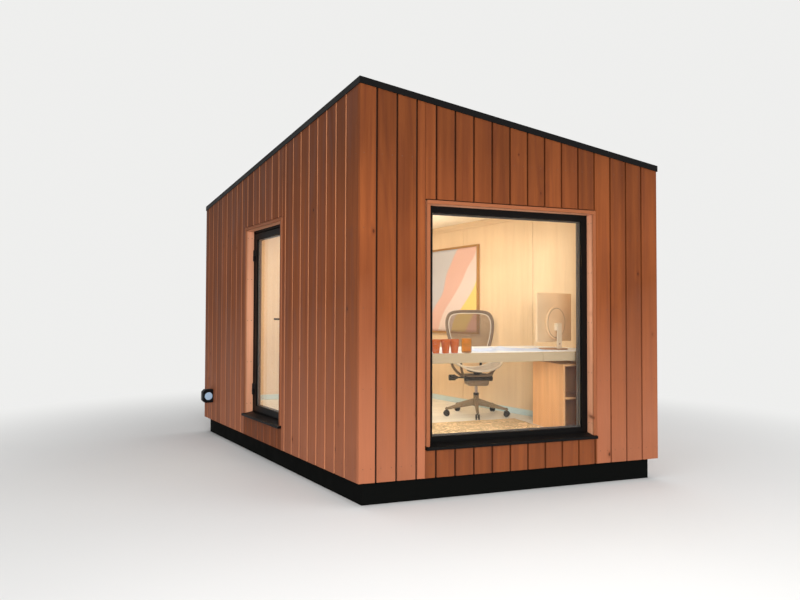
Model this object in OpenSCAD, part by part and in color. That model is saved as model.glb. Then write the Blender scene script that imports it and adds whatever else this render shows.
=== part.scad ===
/* [Plan] */
// Length of the front wall, outside
front_length = 2615; // [2000:5:3600]
// Length of the left and right walls, outside
side_length = 3568; // [2600:1:5000]
// Plan angle between the front wall and the left wall
corner_angle = 105.3; // [90:0.1:120]

/* [Heights] */
// Height of the recessed plinth above the ground
plinth_height = 170; // [80:5:300]
// Top of the roof edge at the three low corners, above the ground
eaves_height = 2648; // [2400:1:3000]
// Top of the roof edge at the raised front corner, above the ground
peak_height = 3092; // [2700:1:3600]
// Finished floor above the ground
floor_level = 360; // [200:5:500]

/* [Walls] */
// Thickness of each wall, boards to lining
wall_thickness = 155; // [120:5:220]
// Setback of the plinth behind the boards
plinth_setback = 50; // [20:5:120]

/* [Roof] */
// Thickness of the roof panels
roof_thickness = 196; // [100:1:250]
// Depth of the roof surface below the roof edge
roof_set_down = 20; // [10:1:60]
// Thickness of the ceiling lining
ceiling_thickness = 15; // [9:1:25]
// Thickness of the metal capping on the wall tops
capping_thickness = 10; // [3:1:20]
// Height of the capping's outer lip
capping_drop = 50; // [30:1:90]
// Thickness of the capping's outer lip
capping_lip = 6; // [2:1:12]
// Gap between pieces that are fastened face to face
seat_gap = 0.3; // [0.2:0.1:0.8]
// Thickness of the floor finish
floor_finish_thickness = 15; // [9:1:25]

/* [Openings] */
// Thickness of the timber boards lining each opening
surround_thickness = 28; // [20:1:60]
// Projection of the timber lining in front of the boards
surround_proud = 8; // [0:1:20]
// Depth of the opening from the boards to the metal frame
reveal_depth = 80; // [40:1:100]
// Depth of the metal frames
frame_depth = 70; // [50:1:90]
// Thickness of the sealed glass units
glass_thickness = 24; // [18:1:40]
// Depth by which the glass edge sits in its frame
glass_bite = 12; // [8:1:20]
// Thickness of the metal sill at its nose
sill_nose = 20; // [10:1:30]
// Projection of the metal sill in front of the boards
sill_projection = 28; // [15:1:60]
// Rise of the metal sill from nose to frame
sill_rise = 16; // [5:1:30]

/* [Front window] */
// Distance of the window from the raised corner
window_start = 516; // [300:1:800]
// Overall width of the window
window_width = 1482; // [800:1:1800]
// Underside of the window above the ground
window_bottom = 376; // [300:1:1200]
// Top of the window above the ground
window_top = 2228; // [1800:1:2500]
// Visible width of the metal frame at the sides
window_stile = 52; // [30:1:80]
// Visible height of the metal frame at the top
window_head = 50; // [30:1:80]
// Visible height of the metal frame at the bottom
window_foot = 42; // [30:1:80]

/* [Door] */
// Distance of the door opening from the raised corner
door_start = 1363; // [900:1:2200]
// Overall width of the door opening
door_width = 909; // [700:1:1000]
// Underside of the door opening above the ground
door_bottom = 358; // [200:1:450]
// Top of the door opening above the ground
door_top = 2243; // [2000:1:2500]
// Visible width of the fixed door frame
door_frame_face = 22; // [15:1:50]
// Overlap of the leaf on the inner lip of the fixed frame
door_overlap = 12; // [6:1:20]
// Gap between leaf and fixed frame
leaf_gap = 8; // [6:1:12]
// Gap between the leaf and the lip behind it
seal_gap = 5; // [5:1:8]
// Thickness of the leaf
leaf_thickness = 48; // [40:1:55]
// Width of the leaf's side and top members
leaf_stile = 62; // [55:1:120]
// Height of the leaf's bottom member
leaf_foot = 58; // [55:1:180]
// Radius of the hinge barrels
hinge_radius = 6; // [5:0.5:8]
// Radius of the hinge pins
pin_radius = 3.5; // [3:0.5:5]
// Running gap round and above each hinge pin
pin_gap = 0.4; // [0.3:0.1:1]
// Length of each hinge, half on the frame and half on the leaf
hinge_length = 110; // [80:5:160]
// Distance of the hinge axis in front of the leaf
hinge_offset = 12; // [9:1:20]
// Height of the lever handles above the floor
handle_height = 970; // [900:10:1100]
// Length of the lever handles
handle_length = 137; // [110:1:170]
// Distance of the lever handles from the leaf's edge
handle_inset = 34; // [30:1:60]

/* [Desk] */
// Height of the desk top above the floor
desk_height = 709; // [650:1:780]
// Depth of the desk
desk_depth = 1000; // [600:10:1100]
// Thickness of the desk top
desk_thickness = 28; // [18:1:50]
// Height of the rail along the desk's window edge
desk_rail_height = 76; // [50:1:110]
// Thickness of the rail
desk_rail_thickness = 22; // [15:1:30]
// Gap between the built-in desk and the walls
desk_gap = 0.3; // [0.2:0.1:5]
// Width of the open cabinet under the desk
cabinet_width = 300; // [200:5:400]
// Depth of the cabinet
cabinet_depth = 504; // [300:4:560]
// Height of the cabinet
cabinet_height = 590; // [400:5:620]
// Gap between the cabinet's far corner and the right wall's lining
cabinet_wall_gap = 12; // [5:1:60]
// Distance of the cabinet from the front wall face
cabinet_front = 338; // [220:2:400]
// Thickness of the cabinet's boards
cabinet_board = 18; // [12:1:25]

/* [Chair] */
// Distance of the chair's pillar from the right wall's lining
chair_wall_gap = 422; // [390:2:700]
// Chair position back from the front wall face
chair_y = 1470; // [1400:10:1800]
// Turn of the chair from facing the window
chair_turn = -12; // [-45:1:45]
// Turn of the five-armed base
base_turn = -23; // [-36:1:36]
// Radius of the five-armed base over the castors
base_radius = 335; // [290:5:350]
// Radius of the castor wheels
castor_radius = 28; // [22:1:32]
// Width of each leg of the base at the hub
leg_width = 44; // [30:2:60]
// Width of each leg of the base at its castor
leg_tip = 28; // [20:1:40]
// Depth of each leg of the base at the hub
leg_depth = 72; // [40:2:90]
// Underside of the legs at the hub above the floor
leg_root = 100; // [90:2:120]
// Top of the base's hub above the floor
hub_top = 226; // [200:2:260]
// Radius of the base's hub
hub_radius = 28; // [24:1:34]
// Radius of the gas lift
lift_radius = 15; // [12:0.5:20]
// Width of the tilt box under the seat
tilt_width = 290; // [200:5:300]
// Height of the tilt box
tilt_height = 110; // [80:5:120]
// Length of the tilt box from front to back
tilt_length = 220; // [160:5:260]
// Width of the plate that carries the seat
seat_plate = 300; // [200:5:320]
// Length of the tension knob's shaft from the middle of the chair
knob_reach = 220; // [190:5:240]
// Radius of the tension knob
knob_radius = 30; // [20:1:34]
// Length of the tension knob
knob_length = 70; // [40:2:80]
// Height of the seat's sides above the floor
seat_height = 560; // [500:5:580]
// Depth of the seat's dip between its sides
seat_dip = 85; // [40:5:100]
// Thickness of the seat
seat_rim = 25; // [15:1:40]
// Width of the seat
seat_width = 500; // [440:5:560]
// Length of the seat from front to back
seat_length = 450; // [400:5:500]
// Width of the chair's back
back_width = 530; // [440:5:560]
// Height of the top of the chair's back above the floor
back_top = 1070; // [950:10:1150]
// Slope of the chair's back
back_slope = 12; // [5:1:20]
// Width of the frame round the chair's back
back_frame = 30; // [20:1:45]
// Thickness of the frame round the chair's back
back_thickness = 26; // [16:1:35]

/* [Fittings] */
// Width of the picture
picture_width = 1050; // [500:10:1300]
// Height of the picture
picture_height = 1000; // [500:10:1200]
// Centre of the picture above the floor
picture_centre = 1300; // [1100:10:1500]
// Thickness of the picture
picture_thickness = 30; // [20:1:50]
// Width of the monitor
monitor_width = 530; // [450:10:700]
// Height of the monitor's lower edge above the desk
monitor_raise = 68; // [40:1:120]
// Height of the monitor
monitor_height = 435; // [300:5:500]
// Thickness of the monitor's case
monitor_case = 22; // [15:1:35]
// Radius of the round housing on the monitor's back
housing_radius = 147; // [100:1:150]
// Depth of that housing
housing_depth = 18; // [10:1:30]
// Width of the monitor's neck
neck_width = 70; // [50:5:150]
// Distance of the neck behind the monitor's case
neck_reach = 50; // [40:2:70]
// Thickness of the stand's plates
stand_thickness = 8; // [6:1:12]
// Radius of the cable hole in the neck
neck_hole = 14; // [8:1:20]
// Height of the cable hole above the desk
neck_hole_height = 50; // [35:1:55]
// Radius of the stand's foot
stand_foot = 130; // [100:5:150]
// Thickness of the rug
rug_thickness = 8; // [5:1:15]
// Gap between the rug and the cabinet
rug_cabinet_gap = 31; // [10:1:200]
// Width of the rug
rug_width = 890; // [600:10:1000]
// Height of each pot
pot_height = 110; // [70:5:140]
// Radius of each pot at its rim
pot_radius = 38; // [30:1:60]
// Distance of the picture's far edge from the back wall's lining
picture_from_back = 316; // [100:2:600]
// Distance of the monitor's stand from the right wall's lining
monitor_wall_gap = 339; // [300:1:600]
// Distance of the monitor back from the front wall face
monitor_y = 550; // [450:5:800]
// Turn of the monitor
monitor_turn = 23; // [0:1:45]
// Distance of the rug from the left wall's lining
rug_gap = 330; // [150:10:500]
// Radius of the tumbler
tumbler_radius = 42; // [30:1:50]
// Height of the tumbler
tumbler_height = 115; // [80:5:140]
// Distance of the wall light's lens from the far end of the left wall
light_from_end = 318; // [150:2:600]
// Length of the wall light along the wall
light_length = 80; // [50:5:120]
// Projection of the wall light
light_depth = 115; // [90:1:130]
// Height of the wall light's housing
light_tall = 150; // [110:2:180]
// Radius of the wall light's lens ring
light_lens = 50; // [30:1:52]
// Middle of the wall light above the ground
light_height = 446; // [300:1:900]

/* [Hidden] */
$fn = 32;

skew = 1 / sin(corner_angle);
side_dir = [cos(corner_angle), sin(corner_angle)];
plan_centre = ([front_length, 0] + side_length * side_dir) / 2;

// Plan point from distances along the front wall and along the left wall
function plan(a, b) = [a, 0] + b * side_dir - plan_centre;

// Plan corner number i, moved inward by d from both its walls
function corner(i, d) =
    i % 4 == 0 ? plan(d * skew, d * skew) :
    i % 4 == 1 ? plan(front_length - d * skew, d * skew) :
    i % 4 == 2 ? plan(front_length - d * skew, side_length - d * skew) :
    plan(d * skew, side_length - d * skew);

fold_from = corner(1, 0);
fold_to = corner(3, 0);
fold_vector = fold_to - fold_from;
fold_length = norm(fold_vector);
fold_angle = atan2(fold_vector[1], fold_vector[0]);
fold_reach = front_length * side_length * sin(corner_angle) / fold_length;
fold_slope = (peak_height - eaves_height) / fold_reach;

// Inward positions counted from the outer face of the boards
frame_back = reveal_depth + frame_depth;
glass_front = reveal_depth + (frame_depth - glass_thickness) / 2;
leaf_back = reveal_depth + leaf_thickness;
lip_front = leaf_back + seal_gap;

// Door leaf edges along the left wall and above the ground
door_clear_a = door_start + surround_thickness;
door_clear_b = door_start + door_width - surround_thickness;
leaf_a = door_clear_a + door_frame_face + leaf_gap;
leaf_b = door_clear_b - door_frame_face - leaf_gap;
leaf_bottom = door_bottom + sill_nose + sill_rise + leaf_gap;
leaf_top = door_top - surround_thickness - door_frame_face - leaf_gap;
hinge_s = leaf_b + leaf_gap / 2;
hinge_d = reveal_depth - hinge_offset;
hinge_heights = [leaf_bottom + 220, leaf_top - 220];
handle_z = floor_level + handle_height;
handle_s = leaf_a + handle_inset;

module side_ring(i, d1, d2) {
    polygon([corner(i, d1), corner(i + 1, d1), corner(i + 1, d2), corner(i, d2)]);
}

module plan_shape(d) {
    polygon([corner(0, d), corner(1, d), corner(2, d), corner(3, d)]);
}

// Everything higher than a surface that lies the given depth below the roof edge,
// with the raised slope of the front and left walls or the level of the other two
module above_roof(depth, raised) {
    slope = raised ? fold_slope : 0;
    translate([fold_from[0], fold_from[1], eaves_height - depth])
        rotate([0, 0, fold_angle])
            translate([-4000, 0, 0])
                rotate([90, 0, 90])
                    linear_extrude(height = fold_length + 8000)
                        polygon([
                            [-4000, -4000 * slope],
                            [4000, 4000 * slope],
                            [4000, 6000],
                            [-4000, 6000]
                        ]);
}

// The half of the plan on the raised side of the fold, or on the level side
module fold_side(raised) {
    translate([fold_from[0], fold_from[1]])
        rotate(fold_angle)
            translate([-4000, raised ? 0 : -6000])
                square([fold_length + 8000, 6000]);
}

module wall(i) {
    difference() {
        translate([0, 0, plinth_height])
            linear_extrude(height = peak_height - plinth_height)
                side_ring(i, 0, wall_thickness);
        above_roof(capping_thickness + seat_gap, i == 0 || i == 3);
    }
}

// Plan strip over wall number i from d1 inward to d2, running past both its ends
module side_strip(i, d1, d2) {
    a = corner(i, 0);
    run = (corner(i + 1, 0) - a) / norm(corner(i + 1, 0) - a);
    inward = [-run[1], run[0]];
    start = a - 300 * run;
    end = corner(i + 1, 0) + 300 * run;
    polygon([start + d1 * inward, end + d1 * inward, end + d2 * inward, start + d2 * inward]);
}

// Angled metal capping of wall number i: a plate on the wall with a lip over the boards
module capping(i) {
    raised = i == 0 || i == 3;
    band_bottom = eaves_height - capping_drop - 200;
    band_height = peak_height - eaves_height + capping_drop + 400;
    difference() {
        intersection() {
            translate([0, 0, band_bottom])
                linear_extrude(height = band_height)
                    side_ring(i, -capping_lip, wall_thickness);
            above_roof(capping_drop, raised);
        }
        above_roof(0, raised);
        difference() {
            translate([0, 0, band_bottom - 100])
                linear_extrude(height = band_height + 200)
                    side_strip(i, -seat_gap, wall_thickness + 200);
            above_roof(capping_thickness, raised);
        }
    }
}

module layer(d, top, thickness, raised) {
    difference() {
        intersection() {
            translate([0, 0, eaves_height - top - thickness - 100])
                linear_extrude(height = peak_height - eaves_height + 600)
                    intersection() {
                        plan_shape(d);
                        fold_side(raised);
                    }
            above_roof(top + thickness, raised);
        }
        above_roof(top, raised);
    }
}

// Frame of the front wall: x along it from the raised corner, y into the room
module on_front() {
    translate([corner(0, 0)[0], corner(0, 0)[1], 0])
        children();
}

// Frame of the left wall: x along it from the raised corner, y into the room
module on_left() {
    translate([corner(0, 0)[0], corner(0, 0)[1], 0])
        rotate([0, 0, corner_angle])
            mirror([0, 1, 0])
                children();
}

module block(x1, x2, y1, y2, z1, z2) {
    translate([x1, y1, z1])
        cube([x2 - x1, y2 - y1, z2 - z1]);
}

module surround(start, width, bottom, top) {
    difference() {
        block(start, start + width, -surround_proud, reveal_depth, bottom + sill_nose, top);
        block(
            start + surround_thickness, start + width - surround_thickness,
            -surround_proud - 10, reveal_depth + 10,
            bottom - 10, top - surround_thickness
        );
        sill(start, width, bottom);
    }
}

module sill(start, width, bottom) {
    translate([start, 0, bottom])
        rotate([90, 0, 90])
            linear_extrude(height = width)
                polygon([
                    [-sill_projection, 0],
                    [reveal_depth, 0],
                    [reveal_depth, sill_nose + sill_rise],
                    [-sill_projection, sill_nose]
                ]);
}

module plinth() {
    color([0.06, 0.06, 0.07])
        linear_extrude(height = plinth_height)
            plan_shape(plinth_setback);
}

module floor_deck() {
    color([0.55, 0.42, 0.28])
        translate([0, 0, plinth_height])
            linear_extrude(height = floor_level - floor_finish_thickness - plinth_height)
                plan_shape(wall_thickness);
}

module floor_finish() {
    color([0.78, 0.76, 0.72])
        translate([0, 0, floor_level - floor_finish_thickness])
            linear_extrude(height = floor_finish_thickness)
                plan_shape(wall_thickness);
}

module front_wall() {
    color([0.55, 0.27, 0.13])
        difference() {
            wall(0);
            on_front()
                block(
                    window_start, window_start + window_width,
                    -50, wall_thickness + 50, window_bottom, window_top
                );
        }
}

module right_wall() {
    color([0.55, 0.27, 0.13])
        wall(1);
}

module back_wall() {
    color([0.55, 0.27, 0.13])
        wall(2);
}

module left_wall_part(s1, s2, z1, z2) {
    color([0.55, 0.27, 0.13])
        intersection() {
            wall(3);
            on_left()
                block(s1, s2, -400, 400, z1, z2);
        }
}

module left_wall_near() {
    left_wall_part(-500, door_start, 0, peak_height + 100);
}

module left_wall_far() {
    left_wall_part(door_start + door_width, side_length + 500, 0, peak_height + 100);
}

module left_wall_head() {
    left_wall_part(door_start, door_start + door_width, door_top, peak_height + 100);
}

module left_wall_sill() {
    left_wall_part(door_start, door_start + door_width, 0, door_bottom);
}

module roof_front() {
    color([0.16, 0.16, 0.17])
        layer(wall_thickness, roof_set_down, roof_thickness, true);
}

module roof_rear() {
    color([0.16, 0.16, 0.17])
        layer(wall_thickness, roof_set_down, roof_thickness, false);
}

module ceiling_front() {
    color([0.90, 0.80, 0.62])
        layer(wall_thickness, roof_set_down + roof_thickness, ceiling_thickness, true);
}

module ceiling_rear() {
    color([0.90, 0.80, 0.62])
        layer(wall_thickness, roof_set_down + roof_thickness, ceiling_thickness, false);
}

module capping_front() {
    color([0.10, 0.10, 0.11])
        capping(0);
}

module capping_right() {
    color([0.10, 0.10, 0.11])
        capping(1);
}

module capping_back() {
    color([0.10, 0.10, 0.11])
        capping(2);
}

module capping_left() {
    color([0.10, 0.10, 0.11])
        capping(3);
}

module window_surround() {
    color([0.62, 0.32, 0.17])
        on_front()
            surround(window_start, window_width, window_bottom, window_top);
}

module window_sill() {
    color([0.03, 0.03, 0.035])
        on_front()
            sill(window_start, window_width, window_bottom);
}

window_light_a = window_start + surround_thickness + window_stile;
window_light_b = window_start + window_width - surround_thickness - window_stile;
window_light_bottom = window_bottom + sill_nose + sill_rise + window_foot;
window_light_top = window_top - surround_thickness - window_head;

module window_frame() {
    color([0.03, 0.03, 0.035])
        on_front()
            difference() {
                block(
                    window_start, window_start + window_width,
                    reveal_depth, frame_back, window_bottom, window_top
                );
                block(
                    window_light_a, window_light_b,
                    reveal_depth - 10, frame_back + 10, window_light_bottom, window_light_top
                );
                block(
                    window_light_a - glass_bite, window_light_b + glass_bite,
                    glass_front, glass_front + glass_thickness,
                    window_light_bottom - glass_bite, window_light_top + glass_bite
                );
            }
}

module window_glass() {
    color([0.75, 0.85, 0.85, 0.3])
        on_front()
            block(
                window_light_a - glass_bite, window_light_b + glass_bite,
                glass_front, glass_front + glass_thickness,
                window_light_bottom - glass_bite, window_light_top + glass_bite
            );
}

module door_surround() {
    color([0.62, 0.32, 0.17])
        on_left()
            surround(door_start, door_width, door_bottom, door_top);
}

module door_sill() {
    color([0.03, 0.03, 0.035])
        on_left()
            sill(door_start, door_width, door_bottom);
}

module door_frame() {
    color([0.03, 0.03, 0.035])
        on_left()
            difference() {
                block(
                    door_start, door_start + door_width,
                    reveal_depth, frame_back, door_bottom, door_top
                );
                block(
                    leaf_a - leaf_gap, leaf_b + leaf_gap,
                    reveal_depth - 10, lip_front, leaf_bottom - leaf_gap, leaf_top + leaf_gap
                );
                block(
                    leaf_a + door_overlap, leaf_b - door_overlap,
                    reveal_depth - 10, frame_back + 10,
                    leaf_bottom + door_overlap, leaf_top - door_overlap
                );
            }
}

module door_hinges() {
    color([0.10, 0.10, 0.11])
        on_left()
            for (z = hinge_heights) {
                translate([hinge_s, hinge_d, z - hinge_length / 2])
                    cylinder(r = hinge_radius, h = hinge_length / 2);
                translate([hinge_s, hinge_d, z - 1])
                    cylinder(r = pin_radius, h = hinge_length / 2 - 3);
                block(
                    hinge_s, door_clear_b - 2, hinge_d + 1, reveal_depth,
                    z - hinge_length / 2, z
                );
            }
}

module door_knuckles() {
    color([0.10, 0.10, 0.11])
        on_left()
            for (z = hinge_heights)
                difference() {
                    union() {
                        translate([hinge_s, hinge_d, z + pin_gap])
                            cylinder(r = hinge_radius, h = hinge_length / 2);
                        block(
                            leaf_b - 26, leaf_b, reveal_depth - 6, reveal_depth,
                            z + pin_gap, z + pin_gap + hinge_length / 2
                        );
                        block(
                            leaf_b - 8, hinge_s, hinge_d + 1, reveal_depth - 4,
                            z + pin_gap, z + pin_gap + hinge_length / 2
                        );
                    }
                    translate([hinge_s, hinge_d, z - 10])
                        cylinder(r = pin_radius + pin_gap, h = hinge_length / 2 + 8);
                }
}

leaf_light_a = leaf_a + leaf_stile;
leaf_light_b = leaf_b - leaf_stile;
leaf_light_bottom = leaf_bottom + leaf_foot;
leaf_light_top = leaf_top - leaf_stile;
leaf_glass_front = reveal_depth + (leaf_thickness - glass_thickness) / 2;

module door_leaf() {
    color([0.04, 0.04, 0.045])
        on_left()
            difference() {
                block(leaf_a, leaf_b, reveal_depth, leaf_back, leaf_bottom, leaf_top);
                block(
                    leaf_light_a, leaf_light_b,
                    reveal_depth - 10, leaf_back + 10, leaf_light_bottom, leaf_light_top
                );
                block(
                    leaf_light_a - glass_bite, leaf_light_b + glass_bite,
                    leaf_glass_front, leaf_glass_front + glass_thickness,
                    leaf_light_bottom - glass_bite, leaf_light_top + glass_bite
                );
            }
}

module door_glass() {
    color([0.75, 0.85, 0.85, 0.3])
        on_left()
            block(
                leaf_light_a - glass_bite, leaf_light_b + glass_bite,
                leaf_glass_front, leaf_glass_front + glass_thickness,
                leaf_light_bottom - glass_bite, leaf_light_top + glass_bite
            );
}

// Lever handle on a slim plate, standing off a leaf face towards way
module lever(face, way) {
    block(
        handle_s - 13, handle_s + 13, min(face, face + way * 8), max(face, face + way * 8),
        handle_z - 110, handle_z + 60
    );
    translate([handle_s, face, handle_z])
        rotate([-way * 90, 0, 0])
            cylinder(r = 9, h = 56);
    translate([handle_s, face + way * 50, handle_z])
        rotate([0, 90, 0])
            cylinder(r = 9, h = handle_length);
}

module door_handle_outside() {
    color([0.05, 0.05, 0.05])
        on_left()
            lever(reveal_depth, -1);
}

module door_handle_inside() {
    color([0.05, 0.05, 0.05])
        on_left()
            lever(leaf_back, 1);
}

desk_front = wall_thickness + 45;
desk_top_front = desk_front + desk_rail_thickness;
desk_z = floor_level + desk_height;

// Places on the desk: distance from the left wall's lining and from the front wall face
pot_places = [[597, 275], [677, 268], [757, 275]];
tumbler_place = [864, 280];
chair_x = room_right(chair_y) - chair_wall_gap;
monitor_x = room_right(monitor_y) - monitor_wall_gap;
cabinet_back = cabinet_front + cabinet_depth;
cabinet_right = room_right(cabinet_back) - cabinet_wall_gap;
cabinet_left = cabinet_right - cabinet_width;

// Room edges at a distance y back from the front wall face, along the front wall
function room_left(y) = (y * cos(corner_angle) + wall_thickness) / sin(corner_angle);
function room_right(y) = front_length + (y * cos(corner_angle) - wall_thickness) / sin(corner_angle);

module desk_top() {
    color([0.92, 0.92, 0.90])
        on_front()
            translate([0, 0, desk_z - desk_thickness])
                linear_extrude(height = desk_thickness)
                    polygon([
                        [room_left(desk_top_front) + desk_gap, desk_top_front],
                        [room_right(desk_top_front) - desk_gap, desk_top_front],
                        [room_right(desk_front + desk_depth) - desk_gap, desk_front + desk_depth],
                        [room_left(desk_front + desk_depth) + desk_gap, desk_front + desk_depth]
                    ]);
}

module desk_rail() {
    color([0.80, 0.74, 0.64])
        on_front()
            translate([0, 0, desk_z - desk_rail_height])
                linear_extrude(height = desk_rail_height)
                    polygon([
                        [room_left(desk_front) + desk_gap, desk_front],
                        [room_right(desk_front) - desk_gap, desk_front],
                        [room_right(desk_top_front) - desk_gap, desk_top_front],
                        [room_left(desk_top_front) + desk_gap, desk_top_front]
                    ]);
}

// Open cabinet with one shelf, its open side towards the window
module desk_cabinet() {
    bay = (cabinet_height - 3 * cabinet_board) / 2;
    color([0.72, 0.48, 0.28])
        on_front()
            difference() {
                block(
                    cabinet_left, cabinet_right, cabinet_front, cabinet_back,
                    floor_level, floor_level + cabinet_height
                );
                for (k = [0, 1])
                    block(
                        cabinet_left + cabinet_board, cabinet_right - cabinet_board,
                        cabinet_front - 10, cabinet_back - cabinet_board,
                        floor_level + cabinet_board + k * (bay + cabinet_board),
                        floor_level + (k + 1) * (bay + cabinet_board)
                    );
            }
}

module at_chair(turn) {
    on_front()
        translate([chair_x, chair_y, floor_level])
            rotate([0, 0, turn])
                children();
}

// Frame of the chair's back: x across it, y up along it, z out of its rear face
module on_back() {
    translate([0, back_y, back_foot])
        rotate([90 - back_slope, 0, 0])
            mirror([0, 0, 1])
                children();
}

seat_pad = 10;
plate_thickness = 26;
mechanism_top = seat_height - seat_dip - seat_rim - seat_pad;
mechanism_bottom = mechanism_top - plate_thickness - tilt_height;
seat_curve = (pow(seat_width / 2, 2) + pow(seat_dip, 2)) / (2 * seat_dip);
seat_step = seat_width / 24;
seat_y = -25;
pad_width = 220;
pad_length = 225;
tilt_back = 90;
knob_z = mechanism_top - 55;
back_foot = mechanism_top + 80;
back_y = 190;
back_reach = (back_top - back_foot) / cos(back_slope);
castor_ring = base_radius - 22;
leg_start = 10;
leg_end = 62;
leg_end_depth = 20;

// Outline of the chair's back: broad shoulders over a narrow waist
module back_outline() {
    hull() {
        for (side = [-1, 1]) {
            translate([side * (back_width / 2 - 90), back_reach - 90])
                circle(r = 90);
            translate([side * (back_width / 2 - 80), back_reach * 0.62])
                circle(r = 80);
            translate([side * back_width * 0.24, 60])
                circle(r = 60);
        }
    }
}

// One leg of the base, tapering in width and in depth from the hub to its castor
module base_leg() {
    leg_reach = castor_ring + leg_tip / 2;
    intersection() {
        rotate([90, 0, 0])
            linear_extrude(height = leg_width + 20, center = true)
                polygon([
                    [leg_start, leg_root],
                    [leg_reach, leg_end],
                    [leg_reach, leg_end + leg_end_depth],
                    [leg_start, leg_root + leg_depth]
                ]);
        linear_extrude(height = leg_root + leg_depth + 20)
            polygon([
                [leg_start - 5, -leg_width / 2],
                [leg_reach + 5, -leg_tip / 2],
                [leg_reach + 5, leg_tip / 2],
                [leg_start - 5, leg_width / 2]
            ]);
    }
}

module chair_base() {
    color([0.35, 0.31, 0.27])
        at_chair(base_turn) {
            for (i = [0 : 4])
                rotate([0, 0, -90 + i * 72]) {
                    base_leg();
                    for (side = [-1, 1])
                        translate([castor_ring, side * 13 - 8, castor_radius])
                            rotate([-90, 0, 0])
                                cylinder(r = castor_radius, h = 16);
                    translate([castor_ring, 0, castor_radius - 8])
                        cylinder(r = 9, h = 60);
                }
            translate([0, 0, leg_root - 10])
                cylinder(r = hub_radius, h = hub_top - leg_root + 10);
            translate([0, 0, leg_root])
                cylinder(r = lift_radius, h = mechanism_bottom - leg_root);
        }
}

// Tilt box with drawn-in lower edges, the plate that carries the seat, and the tension knob on its shaft
module chair_mechanism() {
    color([0.25, 0.23, 0.21])
        at_chair(chair_turn) {
            translate([0, tilt_back, mechanism_bottom])
                rotate([90, 0, 0])
                    linear_extrude(height = tilt_length)
                        polygon([
                            [-tilt_width / 2, tilt_height],
                            [-tilt_width / 2, tilt_height * 0.45],
                            [-tilt_width * 0.36, 0],
                            [tilt_width * 0.36, 0],
                            [tilt_width / 2, tilt_height * 0.45],
                            [tilt_width / 2, tilt_height]
                        ]);
            translate([-seat_plate / 2, tilt_back + 20 - seat_plate, mechanism_top - plate_thickness])
                cube([seat_plate, seat_plate, plate_thickness]);
            translate([-knob_reach, -40, knob_z])
                rotate([0, 90, 0])
                    cylinder(r = 9, h = knob_reach);
            translate([-knob_reach - knob_length, -40, knob_z])
                rotate([0, 90, 0])
                    cylinder(r = knob_radius, h = knob_length);
        }
}

// Rise of the seat at a distance x from its middle: the arc through both sides and the dip
function dip_rise(x) = seat_curve - sqrt(pow(seat_curve, 2) - pow(x, 2));

// Upright slab with a rounded rectangle for its plan
module rounded_slab(width, depth, corner_radius, height) {
    linear_extrude(height = height) {
        square([width - 2 * corner_radius, depth], center = true);
        square([width, depth - 2 * corner_radius], center = true);
        for (x = [-1, 1], y = [-1, 1])
            translate([x * (width / 2 - corner_radius), y * (depth / 2 - corner_radius)])
                circle(r = corner_radius);
    }
}

// Seat: a sling that dips between its two sides, on the pad that holds it to the plate
module chair_seat() {
    color([0.62, 0.58, 0.52])
        at_chair(chair_turn)
            translate([0, seat_y, mechanism_top]) {
                rounded_slab(pad_width, pad_length, 50, seat_pad + seat_rim / 2);
                intersection() {
                    rounded_slab(seat_width, seat_length, 100, seat_pad + seat_rim + seat_dip);
                    rotate([90, 0, 0])
                        linear_extrude(height = seat_length + 20, center = true)
                            polygon([
                                for (i = [-12 : 12]) [i * seat_step, seat_pad + dip_rise(i * seat_step)],
                                for (i = [12 : -1 : -12])
                                    [i * seat_step, seat_pad + seat_rim + dip_rise(i * seat_step)]
                            ]);
                }
            }
}

module chair_back() {
    color([0.45, 0.42, 0.38])
        at_chair(chair_turn) {
            on_back() {
                linear_extrude(height = back_thickness)
                    difference() {
                        back_outline();
                        offset(delta = -back_frame)
                            back_outline();
                    }
                translate([0, 0, back_thickness / 2 - 3])
                    linear_extrude(height = 6)
                        offset(delta = -back_frame / 2)
                            back_outline();
            }
            for (side = [-1, 1]) {
                hull() {
                    translate([side * 60 - 14, 90 + seat_gap, mechanism_bottom + 10])
                        cube([28, 20, 70]);
                    translate([side * 95 - 14, back_y + 22, mechanism_bottom + 60])
                        cube([28, 24, 30]);
                }
                hull() {
                    translate([side * 95 - 14, back_y + 22, mechanism_bottom + 60])
                        cube([28, 24, 30]);
                    translate([side * 105 - 14, back_y + 14, back_foot + 2])
                        cube([28, 28, 40]);
                }
            }
        }
}

housing_z = monitor_raise + housing_radius + 20;

// Monitor with a round housing behind its case, on a neck with a cable hole and a round foot
module monitor() {
    color([0.55, 0.50, 0.46])
        on_front()
            translate([monitor_x, monitor_y, desk_z])
                rotate([0, 0, monitor_turn]) {
                    block(
                        -monitor_width / 2, monitor_width / 2, 0, monitor_case,
                        monitor_raise, monitor_raise + monitor_height
                    );
                    translate([0, 1, housing_z])
                        rotate([90, 0, 0])
                            cylinder(r = housing_radius, h = housing_depth + 1);
                    translate([0, 20, 0])
                        cylinder(r = stand_foot, h = stand_thickness);
                    difference() {
                        block(
                            -neck_width / 2, neck_width / 2,
                            -neck_reach, stand_thickness - neck_reach, 0, housing_z
                        );
                        translate([0, 0, neck_hole_height])
                            rotate([90, 0, 0])
                                cylinder(r = neck_hole, h = 2 * neck_reach);
                    }
                    block(
                        -neck_width / 2, neck_width / 2, -neck_reach, 1 - housing_depth,
                        housing_z - neck_width, housing_z
                    );
                }
}

// Start of the picture along the right wall, measured from the front wall's lining
picture_start = side_length - 2 * wall_thickness * skew - picture_from_back - picture_width;

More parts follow.
